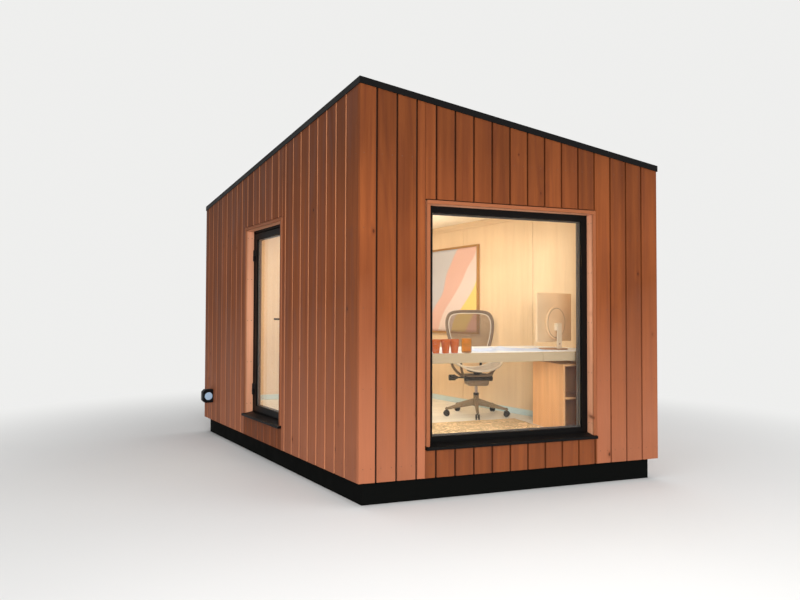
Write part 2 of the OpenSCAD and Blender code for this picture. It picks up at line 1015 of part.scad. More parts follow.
module picture() {
    color([0.80, 0.66, 0.46])
        translate([corner(1, wall_thickness)[0], corner(1, wall_thickness)[1], 0])
            rotate([0, 0, corner_angle])
                translate([picture_start, seat_gap, floor_level + picture_centre - picture_height / 2])
                    cube([picture_width, picture_thickness, picture_height]);
}

module rug() {
    color([0.72, 0.50, 0.32])
        on_front()
            block(
                room_left(desk_front) + rug_gap, cabinet_left - rug_cabinet_gap,
                desk_front + 45, desk_front + 45 + rug_width,
                floor_level, floor_level + rug_thickness
            );
}

module pots() {
    color([0.75, 0.33, 0.18])
        on_front()
            for (p = pot_places)
                translate([room_left(desk_front) + p[0], p[1], desk_z])
                    difference() {
                        cylinder(r1 = pot_radius * 0.68, r2 = pot_radius, h = pot_height);
                        translate([0, 0, pot_height - 10])
                            cylinder(r = pot_radius * 0.85, h = 20);
                    }
}

module tumbler() {
    color([0.80, 0.42, 0.12, 0.7])
        on_front()
            translate([room_left(desk_front) + tumbler_place[0], tumbler_place[1], desk_z])
                difference() {
                    cylinder(r = tumbler_radius, h = tumbler_height);
                    translate([0, 0, tumbler_height - 16])
                        cylinder(r = tumbler_radius - 4, h = 20);
                }
}

// Lamp housing with its outer corners cut off and a lens ring on the side towards the raised corner
module wall_light() {
    cut = light_depth - 2 * light_lens + 12;
    color([0.05, 0.05, 0.05])
        on_left()
            translate([side_length - light_from_end, -seat_gap, light_height]) {
                rotate([90, 0, 90])
                    linear_extrude(height = light_length)
                        polygon([
                            [0, -light_tall / 2],
                            [cut - light_depth, -light_tall / 2],
                            [-light_depth, cut - light_tall / 2],
                            [-light_depth, light_tall / 2 - cut],
                            [cut - light_depth, light_tall / 2],
                            [0, light_tall / 2]
                        ]);
                translate([-6, -light_lens - 4, 0])
                    rotate([0, 90, 0])
                        cylinder(r = light_lens, h = 10);
            }
}

plinth();
floor_deck();
floor_finish();
front_wall();
left_wall_near();
left_wall_far();
left_wall_head();
left_wall_sill();
right_wall();
back_wall();
roof_front();
roof_rear();
ceiling_front();
ceiling_rear();
capping_front();
capping_right();
capping_back();
capping_left();
window_surround();
window_sill();
window_frame();
window_glass();
door_surround();
door_sill();
door_frame();
door_hinges();
door_knuckles();
door_leaf();
door_glass();
door_handle_outside();
door_handle_inside();
desk_top();
desk_rail();
desk_cabinet();
chair_base();
chair_mechanism();
chair_seat();
chair_back();
monitor();
picture();
rug();
pots();
tumbler();
wall_light();
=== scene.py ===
"""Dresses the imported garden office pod: timber boards, glazing, lining, furniture, light and camera."""

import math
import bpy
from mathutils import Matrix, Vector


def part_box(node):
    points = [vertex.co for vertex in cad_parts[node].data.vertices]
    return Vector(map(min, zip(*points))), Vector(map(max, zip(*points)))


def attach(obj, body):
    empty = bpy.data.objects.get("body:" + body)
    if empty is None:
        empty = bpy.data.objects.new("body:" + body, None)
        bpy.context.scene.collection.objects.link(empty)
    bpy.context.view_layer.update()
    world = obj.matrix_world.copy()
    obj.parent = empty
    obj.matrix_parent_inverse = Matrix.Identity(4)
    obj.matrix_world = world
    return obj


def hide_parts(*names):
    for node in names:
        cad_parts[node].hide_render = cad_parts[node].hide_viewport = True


bl_info = {
    "name": "Garden Office Pod",
    "version": (1, 0, 0),
    "blender": (4, 5, 0),
    "location": "3D View > Sidebar > Pod",
    "description": "Builds the visible pieces of a garden office pod round its CAD frame",
    "category": "Add Mesh",
}

from functools import partial, wraps

import bpy
import numpy as np
from bpy.props import FloatProperty, FloatVectorProperty, IntProperty, PointerProperty
from bpy.types import Operator, Panel, PropertyGroup
from mathutils import Matrix

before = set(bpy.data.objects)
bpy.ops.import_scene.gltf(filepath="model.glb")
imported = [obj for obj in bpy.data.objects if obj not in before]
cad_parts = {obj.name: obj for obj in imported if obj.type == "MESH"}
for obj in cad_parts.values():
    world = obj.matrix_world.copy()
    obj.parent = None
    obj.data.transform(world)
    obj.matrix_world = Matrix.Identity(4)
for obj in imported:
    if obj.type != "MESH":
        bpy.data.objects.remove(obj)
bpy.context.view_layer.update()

# First, last, bottom and top of the window and the door along their sides; the levels of the floor, the lining's
# and skirting's foot and the desk; and the height that stands for a board's open top, up to the roof line.
OPENINGS = {"front": (0.516, 1.998, 0.376, 2.228), "left": (1.363, 2.272, 0.358, 2.243)}
FLOOR_LEVEL, LINING_FOOT, DESK_LEVEL = 0.36, 0.3605, 1.069
OPEN_END = 99.0


def tint(red, green, blue):
    """Linear colour of screen values from 0 to 255, by the sRGB curve: a power of 2.4 above a short straight foot."""
    screen = np.array([red, green, blue]) / 255
    linear = np.where(screen <= 0.04045, screen / 12.92, ((screen + 0.055) / 1.055) ** 2.4)
    return tuple(float(value) for value in linear)


def length(name, default, description):
    return FloatProperty(name=name, description=description, default=default, min=0, precision=4, unit="LENGTH")


def colour(name, default, description):
    return FloatVectorProperty(
        name=name, description=description, default=tint(*default), min=0, max=1, size=3, subtype="COLOR"
    )


class PodSizes(PropertyGroup):
    """Lengths of the plan, the boards and the linings."""

    front: length("Front length", 2.615, "Length of the wall with the window")
    side: length("Side length", 3.568, "Length of the wall with the door")
    corner: FloatProperty(
        name="Corner angle", description="Inside angle at the raised corner",
        default=math.radians(105.3), subtype="ANGLE",
    )
    peak: length("Peak height", 3.092, "Height of the roof edge at the raised corner")
    eaves: length("Eaves height", 2.648, "Height of the roof edge at the other corners")
    wall: length("Wall thickness", 0.155, "From the face of the boards to the face of the lining")
    cap: length("Capping plate", 0.0115, "From the roof edge down to the tops of the boards")
    plinth: length("Plinth height", 0.170, "Height of the feet of the boards")
    board_pitch: length("Board pitch", 0.155, "Distance from one board joint to the next")
    lining_drop: length("Lining drop", 0.150, "From the wall tops down to the lining's, inside the roof")
    board_gap: length("Board joint", 0.0122, "Open width of a joint between boards")
    board_thickness: length("Board thickness", 0.021, "Thickness of a cladding board")
    board_edge: length("Board edge", 0.0034, "Width of the eased edges of a board")
    backing: length("Backing depth", 0.024, "Depth of the dark backing behind the boards")
    sheet_width: length("Lining sheet width", 1.22, "Distance between the joints of the lining sheets")
    sheet_joint: length("Lining joint", 0.004, "Open width of a joint between lining sheets")
    sheet_thickness: length("Lining thickness", 0.012, "Thickness of a lining sheet")
    surround: length("Surround thickness", 0.028, "Thickness of the timber round an opening")
    proud: length("Surround proud", 0.008, "How far the surround stands out from the boards")
    reveal: length("Reveal depth", 0.080, "From the face of the boards to the window frame")
    pane: length("Pane thickness", 0.004, "Thickness of one pane of glass")
    seed: IntProperty(name="Board order", description="Number that picks the figure of each board", default=11)


class PodColours(PropertyGroup):
    """Base colours of the finishes."""

    board: colour("Boards", (142, 77, 40), "Sunlit face of the cladding boards")
    board_dark: colour("Board figure", (112, 56, 30), "Dark growth rings of the cladding boards")
    # Painted highlight: the paler colour that the side walls' board cheeks and eased edges take for the light falling
    # on them.
    board_cheek_highlight: colour("Board cheeks", (210, 146, 106), "Planed cheeks and eased edges of the side walls' boards")
    board_foot: colour("Board feet", (186, 116, 84), "Cladding near the ground, where rain has bleached it")
    # Reveal and face colours are lit and shaded copies of one timber: painted light on the reveals, painted shade on
    # the outer face.
    surround: colour("Surround", (246, 178, 140), "Planed reveals round the openings")
    surround_face_shade: colour("Surround face", (146, 82, 48), "Outer edge of the timber round the openings")
    surround_dark: colour("Surround figure", (160, 90, 58), "Growth rings of the surround timber")
    black: colour("Black metal", (9, 8, 8), "Powder coat of frames, sills and capping")
    plinth: colour("Plinth", (14, 15, 14), "Rubber skirt of the plinth")
    membrane: colour("Roof membrane", (70, 71, 74), "Rubber roof covering")
    lining: colour("Lining", (230, 202, 164), "Pale wood sheets on the inside of the walls")
    lining_dark: colour("Lining figure", (212, 178, 136), "Growth rings of the lining sheets")
    ceiling: colour("Ceiling", (252, 238, 212), "Pale boards of the ceiling")
    floor: colour("Floor", (240, 234, 218), "Pale laid floor")
    desk: colour("Desk", (236, 242, 248), "Laminate of the desk top")
    rail: colour("Desk rail", (186, 160, 128), "Rail along the desk's window edge")
    cabinet: colour("Cabinet", (236, 180, 124), "Veneer of the cabinet")
    cabinet_dark: colour("Cabinet figure", (196, 136, 88), "Growth rings of the veneer")
    chair: colour("Chair frame", (130, 110, 88), "Moulded frame of the chair")
    chair_dark: colour("Chair workings", (46, 40, 34), "Dark moulded parts of the chair")
    chair_mesh: colour("Chair mesh", (112, 94, 80), "Woven back of the chair")
    screen_back: colour("Monitor", (236, 202, 160), "Back of the monitor")
    rug: colour("Rug", (246, 212, 164), "Woven jute")
    clay: colour("Clay", (182, 88, 36), "Flower pots")
    amber: colour("Amber", (228, 176, 84), "Tumbler glass")
    oak: colour("Oak", (178, 132, 74), "Picture frame")


def sizes():
    return bpy.context.scene.pod_sizes


def colours():
    return bpy.context.scene.pod_colours


# Geometry

def unit(vectors):
    return vectors / np.linalg.norm(vectors, axis=-1, keepdims=True)


def around(count):
    """Angles of a full turn in even steps."""
    return np.linspace(0, 2 * np.pi, count, endpoint=False)


def lattice(rows, columns):
    """Two grids of shares from 0 to 1, one changing with the row and one with the column."""
    return np.meshgrid(np.linspace(0, 1, rows), np.linspace(0, 1, columns), indexing="ij")


def listed(*parts):
    """Grids of coordinates as one list of points."""
    return np.stack(np.broadcast_arrays(*parts), axis=-1).reshape(-1, len(parts))


def rotation(angle):
    """Plan directions along and across a line that is turned by the angle: (cosine, sine) and (-sine, cosine)."""
    return np.array([math.cos(angle), math.sin(angle)]), np.array([-math.sin(angle), math.cos(angle)])


class Spot:
    """A standing place: an origin and two plan directions."""

    def __init__(self, origin, along, across):
        self.origin, self.along, self.across = np.array(origin), np.array(along), np.array(across)

    def place(self, point):
        """Point of the model: origin + first coordinate * along + second coordinate * across, and the height on top."""
        point = np.asarray(point, float)
        plan = point[..., :1] * self.along + point[..., 1:2] * self.across
        return np.concatenate([plan, point[..., 2:3]], axis=-1) + self.origin

    def solid(self, rings, closed=False):
        return tubes(self.place(rings), closed=closed)


class Side(Spot):
    """One outer face of the plan. A place on it is the distance along it, the depth inward and the height."""

    def __init__(self, start, along, inward, span, first, last):
        super().__init__((*start, 0.0), along, inward)
        self.span, self.first, self.last = span, first, last

    def ends(self, depth, cover):
        """Distances along, at a depth, where this side meets its neighbours when they are cover thick.
        A neighbour's face leaves the corner at the corner's angle, so it is passed at depth / tan + cover / sin."""
        low = depth / math.tan(self.first) + cover / math.sin(self.first)
        high = self.span - depth / math.tan(self.last) - cover / math.sin(self.last)
        return low, high


class Plan:
    """Corners, sides and roof line of the pod, from its sizes."""

    def __init__(self, sizes):
        self.sizes = sizes
        bend, across = rotation(sizes.corner)
        self.east, self.north = np.array([1.0, 0.0]), bend
        self.corner = -(sizes.front * self.east + sizes.side * self.north) / 2
        other = math.pi - sizes.corner
        far = self.corner + sizes.front * self.east
        back = self.corner + sizes.side * self.north
        self.front = Side(self.corner, self.east, (0, 1), sizes.front, sizes.corner, other)
        self.left = Side(self.corner, self.north, -across, sizes.side, sizes.corner, other)
        self.right = Side(far, self.north, across, sizes.side, other, sizes.corner)
        self.back = Side(back, self.east, (0, -1), sizes.front, other, sizes.corner)

    def spot(self, x, y, z=DESK_LEVEL, turn=0.0):
        """Standing place at a distance from the raised corner, turned by some degrees."""
        return Spot((*(self.corner + [x, y]), z), *rotation(math.radians(turn)))

    def roof_line(self, point):
        """Height of the roof edge's surface: level at the eaves, and rising in proportion to the distance from
        the diagonal fold to the raised corner, where the two plan fractions add up to less than one."""
        offset = np.asarray(point)[..., :2] - self.corner
        across = offset[..., 1] / (self.sizes.side * math.sin(self.sizes.corner))
        along = (offset[..., 0] - across * self.sizes.side * math.cos(self.sizes.corner)) / self.sizes.front
        rise = np.clip(1 - along - across, 0, None)
        return self.sizes.eaves + (self.sizes.peak - self.sizes.eaves) * rise


def tubes(rings, grain=None, closed=False):
    """Points, faces and grain positions of tubes through rings, shaped (tube, ring, point, 3).
    Each tube has flat ends, or runs back into its first ring if closed. The volume inside is the sum over the side
    faces of (middle - centre) . area vector; where it is negative, the rings are read the other way round."""
    rings = np.array(rings, float)
    if rings.ndim == 3:
        rings = rings[None]
    count, steps, size = rings.shape[:3]
    grain = np.array(rings if grain is None else grain, float).reshape(count, steps, size, 3)
    after = np.roll(rings, -1, axis=1) if closed else rings[:, 1:]
    near = rings if closed else rings[:, :-1]
    near_next, after_next = np.roll(near, -1, axis=2), np.roll(after, -1, axis=2)
    area = np.cross(near_next - after, after_next - near)
    centre = near.mean(axis=2, keepdims=True) if closed else rings.mean(axis=(1, 2), keepdims=True)
    middle = (near + after + near_next + after_next) / 4 - centre
    inside = (area * middle).sum(axis=(1, 2, 3)) > 0
    rings[inside] = rings[inside][:, :, ::-1]
    grain[inside] = grain[inside][:, :, ::-1]
    index = np.arange(count * steps * size).reshape(count, steps, size)
    first = index if closed else index[:, :-1]
    second = np.roll(index, -1, axis=1) if closed else index[:, 1:]
    sides = np.stack([first, second, np.roll(second, -1, axis=2), np.roll(first, -1, axis=2)], axis=-1)
    faces = sides.reshape(-1, 4).tolist()
    if not closed:
        faces += index[:, 0].tolist() + index[:, -1, ::-1].tolist()
    return rings.reshape(-1, 3), faces, grain.reshape(-1, 3)


def soft_boxes(place, low, high, soft=0.002, shift=0.0, axis=2):
    """Tubes of boxes with all edges eased. Each box is four eight-point rings along its axis: the end rings and the
    corners of every ring are drawn in by the ease. Grain position is the local point plus the box's own shift."""
    order = [(axis + 1) % 3, (axis + 2) % 3, axis]
    low, high = (np.atleast_2d(np.array(corner, float))[:, None, None, order] for corner in (low, high))
    end = np.array([0, 0, 1, 1])[:, None]
    ease_end = np.array([0, 1, -1, 0])[:, None]
    draw = np.array([1, 0, 0, 1])[:, None]
    local = []
    for row, (side, ease) in enumerate((
        ([0, 1, 1, 1, 1, 0, 0, 0], [1, -1, 0, 0, -1, 1, 0, 0]),
        ([0, 0, 0, 1, 1, 1, 1, 0], [0, 0, 1, -1, 0, 0, -1, 1]),
    )):
        side, ease = np.array(side), np.array(ease)
        drawn = draw * np.where(ease == 0, 1 - 2 * side, 0.5 * ease)
        local.append(low[..., row] + (high - low)[..., row] * side + soft * (ease + drawn))
    local.append(low[..., 2] + (high - low)[..., 2] * end + soft * ease_end + 0 * local[0])
    local = np.stack(local, axis=-1)
    grain = local + np.asarray(shift, float).reshape(-1, 1, 1, 1)
    return tubes(place(local[..., np.argsort(order)]), grain)


def smooth_path(points, count, closed=False):
    """Evenly parted curve through points, each stretch the Catmull-Rom cubic of its four nearest points."""
    points = np.asarray(points, float)
    total = len(points)
    where = np.linspace(0, total if closed else total - 1, count, endpoint=not closed)
    step = np.minimum(where.astype(int), total - (1 if closed else 2))
    part = (where - step)[:, None]
    pick = [(step + k) % total if closed else np.clip(step + k, 0, total - 1) for k in (-1, 0, 1, 2)]
    a, b, c, d = (points[p] for p in pick)
    square, cube = 2 * a - 5 * b + 4 * c - d, 3 * b - a - 3 * c + d
    return 0.5 * (2 * b + (c - a) * part + square * part ** 2 + cube * part ** 3)


def sweep(path, width, height, sides=12, up=(0, 0, 1), closed=False, power=2.0):
    """Rings carried along a path. Each ring is a superellipse of that power, with its half width across the path
    and its half height towards up, made square to the path by two cross products."""
    path = np.asarray(path, float)
    ahead = np.roll(path, -1, axis=0) - np.roll(path, 1, axis=0)
    if not closed:
        ahead[0], ahead[-1] = path[1] - path[0], path[-1] - path[-2]
    ahead = unit(ahead)
    across = unit(np.cross(ahead, np.array(up, float)))
    rise = np.cross(across, ahead)
    x, y = superellipse(around(sides), power)
    width, height = (np.broadcast_to(half, len(path))[:, None, None] for half in (width, height))
    return path[:, None] + width * x[None, :, None] * across[:, None] + height * y[None, :, None] * rise[:, None]


def superellipse(angle, power):
    """Each of cosine and sine, raised to 2 / power with its sign kept."""
    return (np.sign(wave) * np.abs(wave) ** (2 / power) for wave in (np.cos(angle), np.sin(angle)))


def turned(profile, sides=32, origin=None, axis=None):
    """Rings of a profile of (radius, height) pairs, turned about the vertical, or about an axis from an origin."""
    profile = np.asarray(profile, float)
    angle = around(sides)
    radius, height = profile[:, :1], profile[:, 1:]
    rings = np.stack([radius * np.cos(angle), radius * np.sin(angle), height + 0 * angle], axis=-1)
    return rings if axis is None else laid_on(rings, origin, axis)


def laid_on(rings, origin, axis):
    """Rings with their vertical axis laid along a horizontal or vertical axis, from the origin."""
    axis = unit(np.array(axis, float))
    across = unit(np.cross([0, 0, 1] if abs(axis[2]) < 0.9 else [1, 0, 0], axis))
    rise = np.cross(axis, across)
    return np.asarray(origin) + rings[..., :1] * across + rings[..., 1:2] * rise + rings[..., 2:3] * axis


def loop(points, corner=0.0, sides=6):
    """Closed outline through corner points, each corner cut by an arc of the given radius."""
    points = np.asarray(points, float)
    before, after = unit(np.roll(points, 1, axis=0) - points), unit(np.roll(points, -1, axis=0) - points)
    half = np.arccos(np.clip((before * after).sum(1), -1, 1)) / 2
    reach = (corner / np.tan(half))[:, None]
    part = np.linspace(0, 1, sides)[:, None, None]
    start, end = points + before * reach, points + after * reach
    curve = (1 - part) ** 2 * start + 2 * part * (1 - part) * (points * 0.8 + (start + end) * 0.1) + part ** 2 * end
    return curve.transpose(1, 0, 2).reshape(-1, 2)


def slab(outline, levels):
    """Rings of one outline at several levels, each level a (height, inset) pair. An inset point moves towards the
    inside along the mean normal of its two neighbouring edges."""
    ahead = unit(np.roll(outline, -1, axis=0) - np.roll(outline, 1, axis=0))
    inward = np.stack([-ahead[:, 1], ahead[:, 0]], axis=-1)
    area = (outline[:, 0] * np.roll(outline[:, 1], -1) - np.roll(outline[:, 0], -1) * outline[:, 1]).sum()
    inward *= np.sign(area)
    return np.stack([
        np.concatenate([outline + inset * inward, np.full((len(outline), 1), height)], axis=1)
        for height, inset in levels
    ])


def block(x, y, corner, levels, sides=8):
    """Slab over the rectangle between two x and two y, with rounded corners."""
    return slab(loop([[x[0], y[0]], [x[1], y[0]], [x[1], y[1]], [x[0], y[1]]], corner, sides), levels)


def sheet_shell(points, rows, columns, wrap=False, centre=False):
    """Shell of a grid of rows by columns, its columns joined round if wrap, with a fan to a last point if centre."""
    index = np.arange(rows * columns).reshape(rows, columns)
    after = np.roll(index, -1, axis=1)
    if not wrap:
        index, after = index[:, :-1], after[:, :-1]
    faces = np.stack([index[:-1], after[:-1], after[1:], index[1:]], axis=-1).reshape(-1, 4).tolist()
    if centre:
        hub = np.full(index.shape[1], rows * columns)
        faces += np.stack([hub, after[0], index[0]], axis=-1).tolist()
    return points, faces, points


def make(name, shells, material, slot, body="pod", stands_for=(), smooth=32, tone=None, uv=None):
    """Joins shells into one object. Every point carries its grain position and the tone of its shell."""
    faces, tones, start = [], [], 0
    for number, (points, own_faces, _) in enumerate(shells):
        faces += [[start + corner for corner in face] for face in own_faces]
        tones.append(np.broadcast_to(0.5 if tone is None else tone[number], len(points)))
        start += len(points)
    mesh = bpy.data.meshes.new(name)
    mesh.from_pydata(np.concatenate([shell[0] for shell in shells]).tolist(), [], faces)
    grain = np.concatenate([shell[2] for shell in shells])
    mesh.attributes.new("grain", "FLOAT_VECTOR", "POINT").data.foreach_set("vector", grain.ravel())
    mesh.attributes.new("tone", "FLOAT", "POINT").data.foreach_set("value", np.concatenate(tones))
    mesh.polygons.foreach_set("use_smooth", np.ones(len(mesh.polygons), bool))
    mesh.set_sharp_from_angle(angle=math.radians(smooth))
    if uv is not None:
        layer = mesh.uv_layers.new(name="UVMap")
        corners = np.empty(len(mesh.loops), int)
        mesh.loops.foreach_get("vertex_index", corners)
        layer.data.foreach_set("uv", np.asarray(uv)[corners].ravel())
    mesh.validate()
    piece = bpy.data.objects.new(name, mesh)
    bpy.context.scene.collection.objects.link(piece)
    mesh.materials.append(material)
    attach(piece, body)
    if stands_for:
        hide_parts(*stands_for)
    return piece


def thicken(piece, thickness, offset=0.0):
    """Gives an open sheet its thickness, in equal parts on both sides unless offset."""
    modifier = piece.modifiers.new("thickness", "SOLIDIFY")
    modifier.thickness = thickness
    modifier.offset = offset
    return piece


def dress_nodes(names, material, ease=0.0):
    """Gives CAD nodes their material and, through a weld and a bevel, their eased edges."""
    for name in names.split():
        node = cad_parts[name]
        node.data.materials.clear()
        node.data.materials.append(material)
        if ease:
            weld = node.modifiers.new("weld", "WELD")
            weld.merge_threshold = 0.00005
            bevel = node.modifiers.new("ease", "BEVEL")
            bevel.width = ease
            bevel.segments = 2
            bevel.limit_method = "ANGLE"
            bevel.angle_limit = math.radians(40)


# Finishes

class Nodes:
    """A node tree, with short calls that add a node and give back its output."""

    def __init__(self, tree):
        self.tree = tree

    def feed(self, socket, value):
        """Links a socket to an output, or sets it to a value."""
        if isinstance(value, bpy.types.NodeSocket):
            self.tree.links.new(value, socket)
        elif hasattr(value, "__len__") and len(value) == 3 and socket.type == "RGBA":
            socket.default_value = (*value, 1)
        else:
            socket.default_value = value

    def node(self, kind, inputs=None, **settings):
        """Shader node of a kind, with its inputs fed and its settings set."""
        made = self.tree.nodes.new("ShaderNode" + kind)
        for key, value in settings.items():
            setattr(made, key, value)
        for key, value in (inputs or {}).items():
            self.feed(made.inputs[key], value)
        return made

    def object_position(self):
        return self.node("TexCoord").outputs["Object"]

    def attribute(self, name, output="Vector"):
        return self.node("Attribute", attribute_name=name).outputs[output]

    def uv(self):
        return self.node("UVMap", uv_map="UVMap").outputs["UV"]

    def stretch(self, vector, scale):
        return self.node("Mapping", {"Vector": vector, "Scale": scale}).outputs["Vector"]

    def split(self, vector):
        return self.node("SeparateXYZ", {0: vector}).outputs

    def noise(self, vector, scale, detail=2.0, roughness=0.5, distortion=0.0):
        return self.node("TexNoise", {
            "Vector": vector, "Scale": scale, "Detail": detail, "Roughness": roughness, "Distortion": distortion,
        }).outputs["Fac"]

    def cells(self, vector, scale):
        return self.node("TexVoronoi", {"Vector": vector, "Scale": scale}, feature="F1").outputs

    def maths(self, operation, first, second=0.0):
        return self.node("Math", {0: first, 1: second}, operation=operation).outputs[0]

    def add(self, first, second):
        return self.maths("ADD", first, second)

    def times(self, first, second):
        return self.maths("MULTIPLY", first, second)

    def fade(self, value, low, high, to_low=0.0, to_high=1.0):
        """Straight change from one value to another between two limits, and level beyond them."""
        return self.node("MapRange", {
            "Value": value, "From Min": low, "From Max": high, "To Min": to_low, "To Max": to_high,
        }, clamp=True).outputs["Result"]

    def drift(self, vector, scale, low, high, detail=2.0, roughness=0.5, distortion=0.0):
        """Noise whose middle range is spread between two values."""
        return self.fade(self.noise(vector, scale, detail, roughness, distortion), 0.3, 0.7, low, high)

    def blend(self, factor, first, second, mode="MIX"):
        made = self.node("Mix", data_type="RGBA", blend_type=mode)
        self.feed(made.inputs["Factor"], factor)
        colours = [socket for socket in made.inputs if socket.type == "RGBA"]
        self.feed(colours[0], first)
        self.feed(colours[1], second)
        return [socket for socket in made.outputs if socket.type == "RGBA"][0]

    def shade(self, base, value):
        """Colour times a grey value."""
        grey = self.node("CombineColor", {"Red": value, "Green": value, "Blue": value}).outputs["Color"]
        return self.blend(1.0, base, grey, "MULTIPLY")

    def mix(self, factor, first, second):
        return self.node("MixShader", {0: factor, 1: first.outputs[0], 2: second.outputs[0]}).outputs[0]

    def seen(self):
        """One for rays from the camera, from a gloss or through glass, and zero for others."""
        ray = self.node("LightPath").outputs
        direct = self.maths("MAXIMUM", ray["Is Camera Ray"], ray["Is Glossy Ray"])
        return self.maths("MAXIMUM", direct, ray["Is Transmission Ray"])


class Finish(Nodes):
    """A node material round one shader."""

    def __init__(self, name, roughness, metallic=0.0, specular=0.5):
        self.material = bpy.data.materials.new(name)
        self.material.use_nodes = True
        super().__init__(self.material.node_tree)
        self.shader = self.tree.nodes["Principled BSDF"]
        self.set("Roughness", roughness)
        self.set("Metallic", metallic)
        self.set("Specular IOR Level", specular)

    def set(self, socket, value):
        self.feed(self.shader.inputs[socket], value)

    def bump(self, height, distance, strength=1.0):
        relief = self.node("Bump", {"Height": height, "Distance": distance, "Strength": strength})
        self.set("Normal", relief.outputs["Normal"])

    def surface(self, shader):
        self.feed(self.tree.nodes["Material Output"].inputs["Surface"], shader)


def shared(finish):
    """A finish that is made only once: by the same name, later calls get the same material."""
    @wraps(finish)
    def ready(name, *values, **named):
        return bpy.data.materials.get(name) or finish(name, *values, **named)
    return ready


@shared
def timber(
    name, light, dark, foot=None, face=None, cheek_highlight=None, rings=7.0, contrast=1.0, roughness=0.62, knots=1.0,
    spread=0.13, relief=0.0005,
):
    """Sawn timber. The grain position, squeezed along the board, goes through a soft noise whose contour lines are
    the growth rings. Knots are points of a coarse pattern, kept where a drawn number is high; they bend the lines
    a little. Long thin noise gives the streaks, and a fine one the fibres. Where a face colour is given, low tones
    take it as painted shade, and where a cheek highlight colour is given, tones over 1 take it as a painted
    highlight. With a foot colour the wood is bleached near the ground, but not where the tone is under 0, which
    is partly shelter and partly painted shade under a sill; and it is darkened towards the head as painted shade."""
    wood = Finish(name, roughness, specular=0.2)
    fade, add, times = wood.fade, wood.add, wood.times
    grain = wood.attribute("grain")
    tone = wood.attribute("tone", "Fac")
    points = wood.cells(wood.stretch(grain, (6.0, 1.2, 3.6)), 1.0)
    knot = add(points["Distance"], times(wood.noise(grain, 60.0, 1.0), 0.03))
    kept = wood.maths("GREATER_THAN", wood.split(points["Color"])[0], 1 - 0.42 * knots)
    bend = times(fade(knot, 0.05, 0.34, 0.05, 0.0), kept)
    form = wood.noise(wood.stretch(grain, (4.6, 4.6, 0.30)), 1.0, 1.0, 0.4, 0.15)
    lines = times(add(form, bend), rings * 6.283)
    ring = wood.maths("POWER", fade(wood.maths("SINE", lines), -1.0, 1.0), 2.2)
    fibre = wood.noise(wood.stretch(grain, (230, 230, 6)), 1.0, 3.0, 0.6)
    streak = wood.noise(wood.stretch(grain, (22, 22, 0.6)), 1.0, 3.0, 0.55)
    cloud = wood.noise(wood.stretch(grain, (2.6, 2.6, 1.1)), 1.0, 2.0, 0.5)
    base = wood.blend(fade(ring, 0.0, 1.0, 0.04, 0.36 * contrast), light, dark)
    base = wood.blend(fade(streak, 0.42, 0.74, 0.0, 0.55 * contrast), base, dark)
    if foot is not None:
        height = wood.split(wood.object_position())[2]
        # Tones under 0, on boards under an opening, keep the foot unbleached: partly shelter, partly painted shade
        # under the sill.
        open_and_unshaded = fade(tone, -0.9, -0.1, 0.12, 1.0)
        bleached = fade(add(height, times(cloud, 1.1)), 0.85, 2.1, 0.75, 0.0)
        base = wood.blend(times(bleached, open_and_unshaded), base, foot)
        # Painted shade: darker towards the head of the wall, for the shade under the capping.
        base = wood.shade(base, fade(add(height, times(streak, 0.5)), 2.25, 2.95, 1.0, 0.66))
    if face is not None:
        # Painted shade: low tones, at the outer face of a surround, take the darker face colour.
        base = wood.blend(fade(tone, 0.03, 0.30, 0.92, 0.0), base, face)
    # Painted highlight: tones over 1, on the side walls' board cheeks and eased edges, take the cheek colour.
    if cheek_highlight is not None:
        base = wood.blend(fade(tone, 1.0, 2.0, 0.0, 0.9), base, cheek_highlight)
    base = wood.blend(times(fade(knot, 0.05, 0.16, 0.45, 0.0), kept), base, dark)
    spot = times(fade(knot, 0.045, 0.085, 0.85, 0.0), kept)
    base = wood.blend(spot, base, tuple(0.42 * value for value in dark))
    value = add(fade(tone, 0.0, 1.0, 1 - spread, 1 + spread), fade(fibre, 0.3, 0.7, -0.05, 0.05))
    value = add(value, fade(cloud, 0.3, 0.7, -0.10 * contrast, 0.08 * contrast))
    wood.set("Base Color", wood.shade(base, value))
    wood.set("Roughness", fade(ring, 0.0, 1.0, roughness + 0.06, roughness - 0.06))
    wood.bump(add(times(fibre, 0.7), times(ring, 0.2)), relief)
    return wood.material


@shared
def powder_coat(name, base, roughness=0.55, specular=0.15):
    """Sprayed metal: a fine pebbled surface with a slow drift of gloss."""
    coat = Finish(name, roughness, specular=specular)
    place = coat.object_position()
    cloud = coat.noise(place, 3.0, 2.0)
    worn = tuple(min(1, value * 1.6 + 0.001) for value in base)
    coat.set("Base Color", coat.blend(coat.fade(cloud, 0.3, 0.7, 0.0, 0.5), base, worn))
    coat.set("Roughness", coat.fade(cloud, 0.3, 0.7, roughness - 0.05, roughness + 0.08))
    coat.bump(coat.noise(place, 900.0, 1.0), 0.0002, 0.1)
    return coat.material


@shared
def moulded(name, base, roughness=0.5, texture=700.0, specular=0.35):
    """Moulded plastic with a fine leathered surface and a slight scuffed drift."""
    plastic = Finish(name, roughness, specular=specular)
    place = plastic.object_position()
    scuff = plastic.noise(plastic.stretch(place, (9, 9, 9)), 1.0, 4.0, 0.6)
    plastic.set("Base Color", plastic.shade(base, plastic.fade(scuff, 0.3, 0.7, 0.9, 1.08)))
    plastic.set("Roughness", plastic.fade(scuff, 0.3, 0.7, roughness - 0.06, roughness + 0.1))
    plastic.bump(plastic.cells(place, texture)["Distance"], 0.00015, 0.6)
    return plastic.material


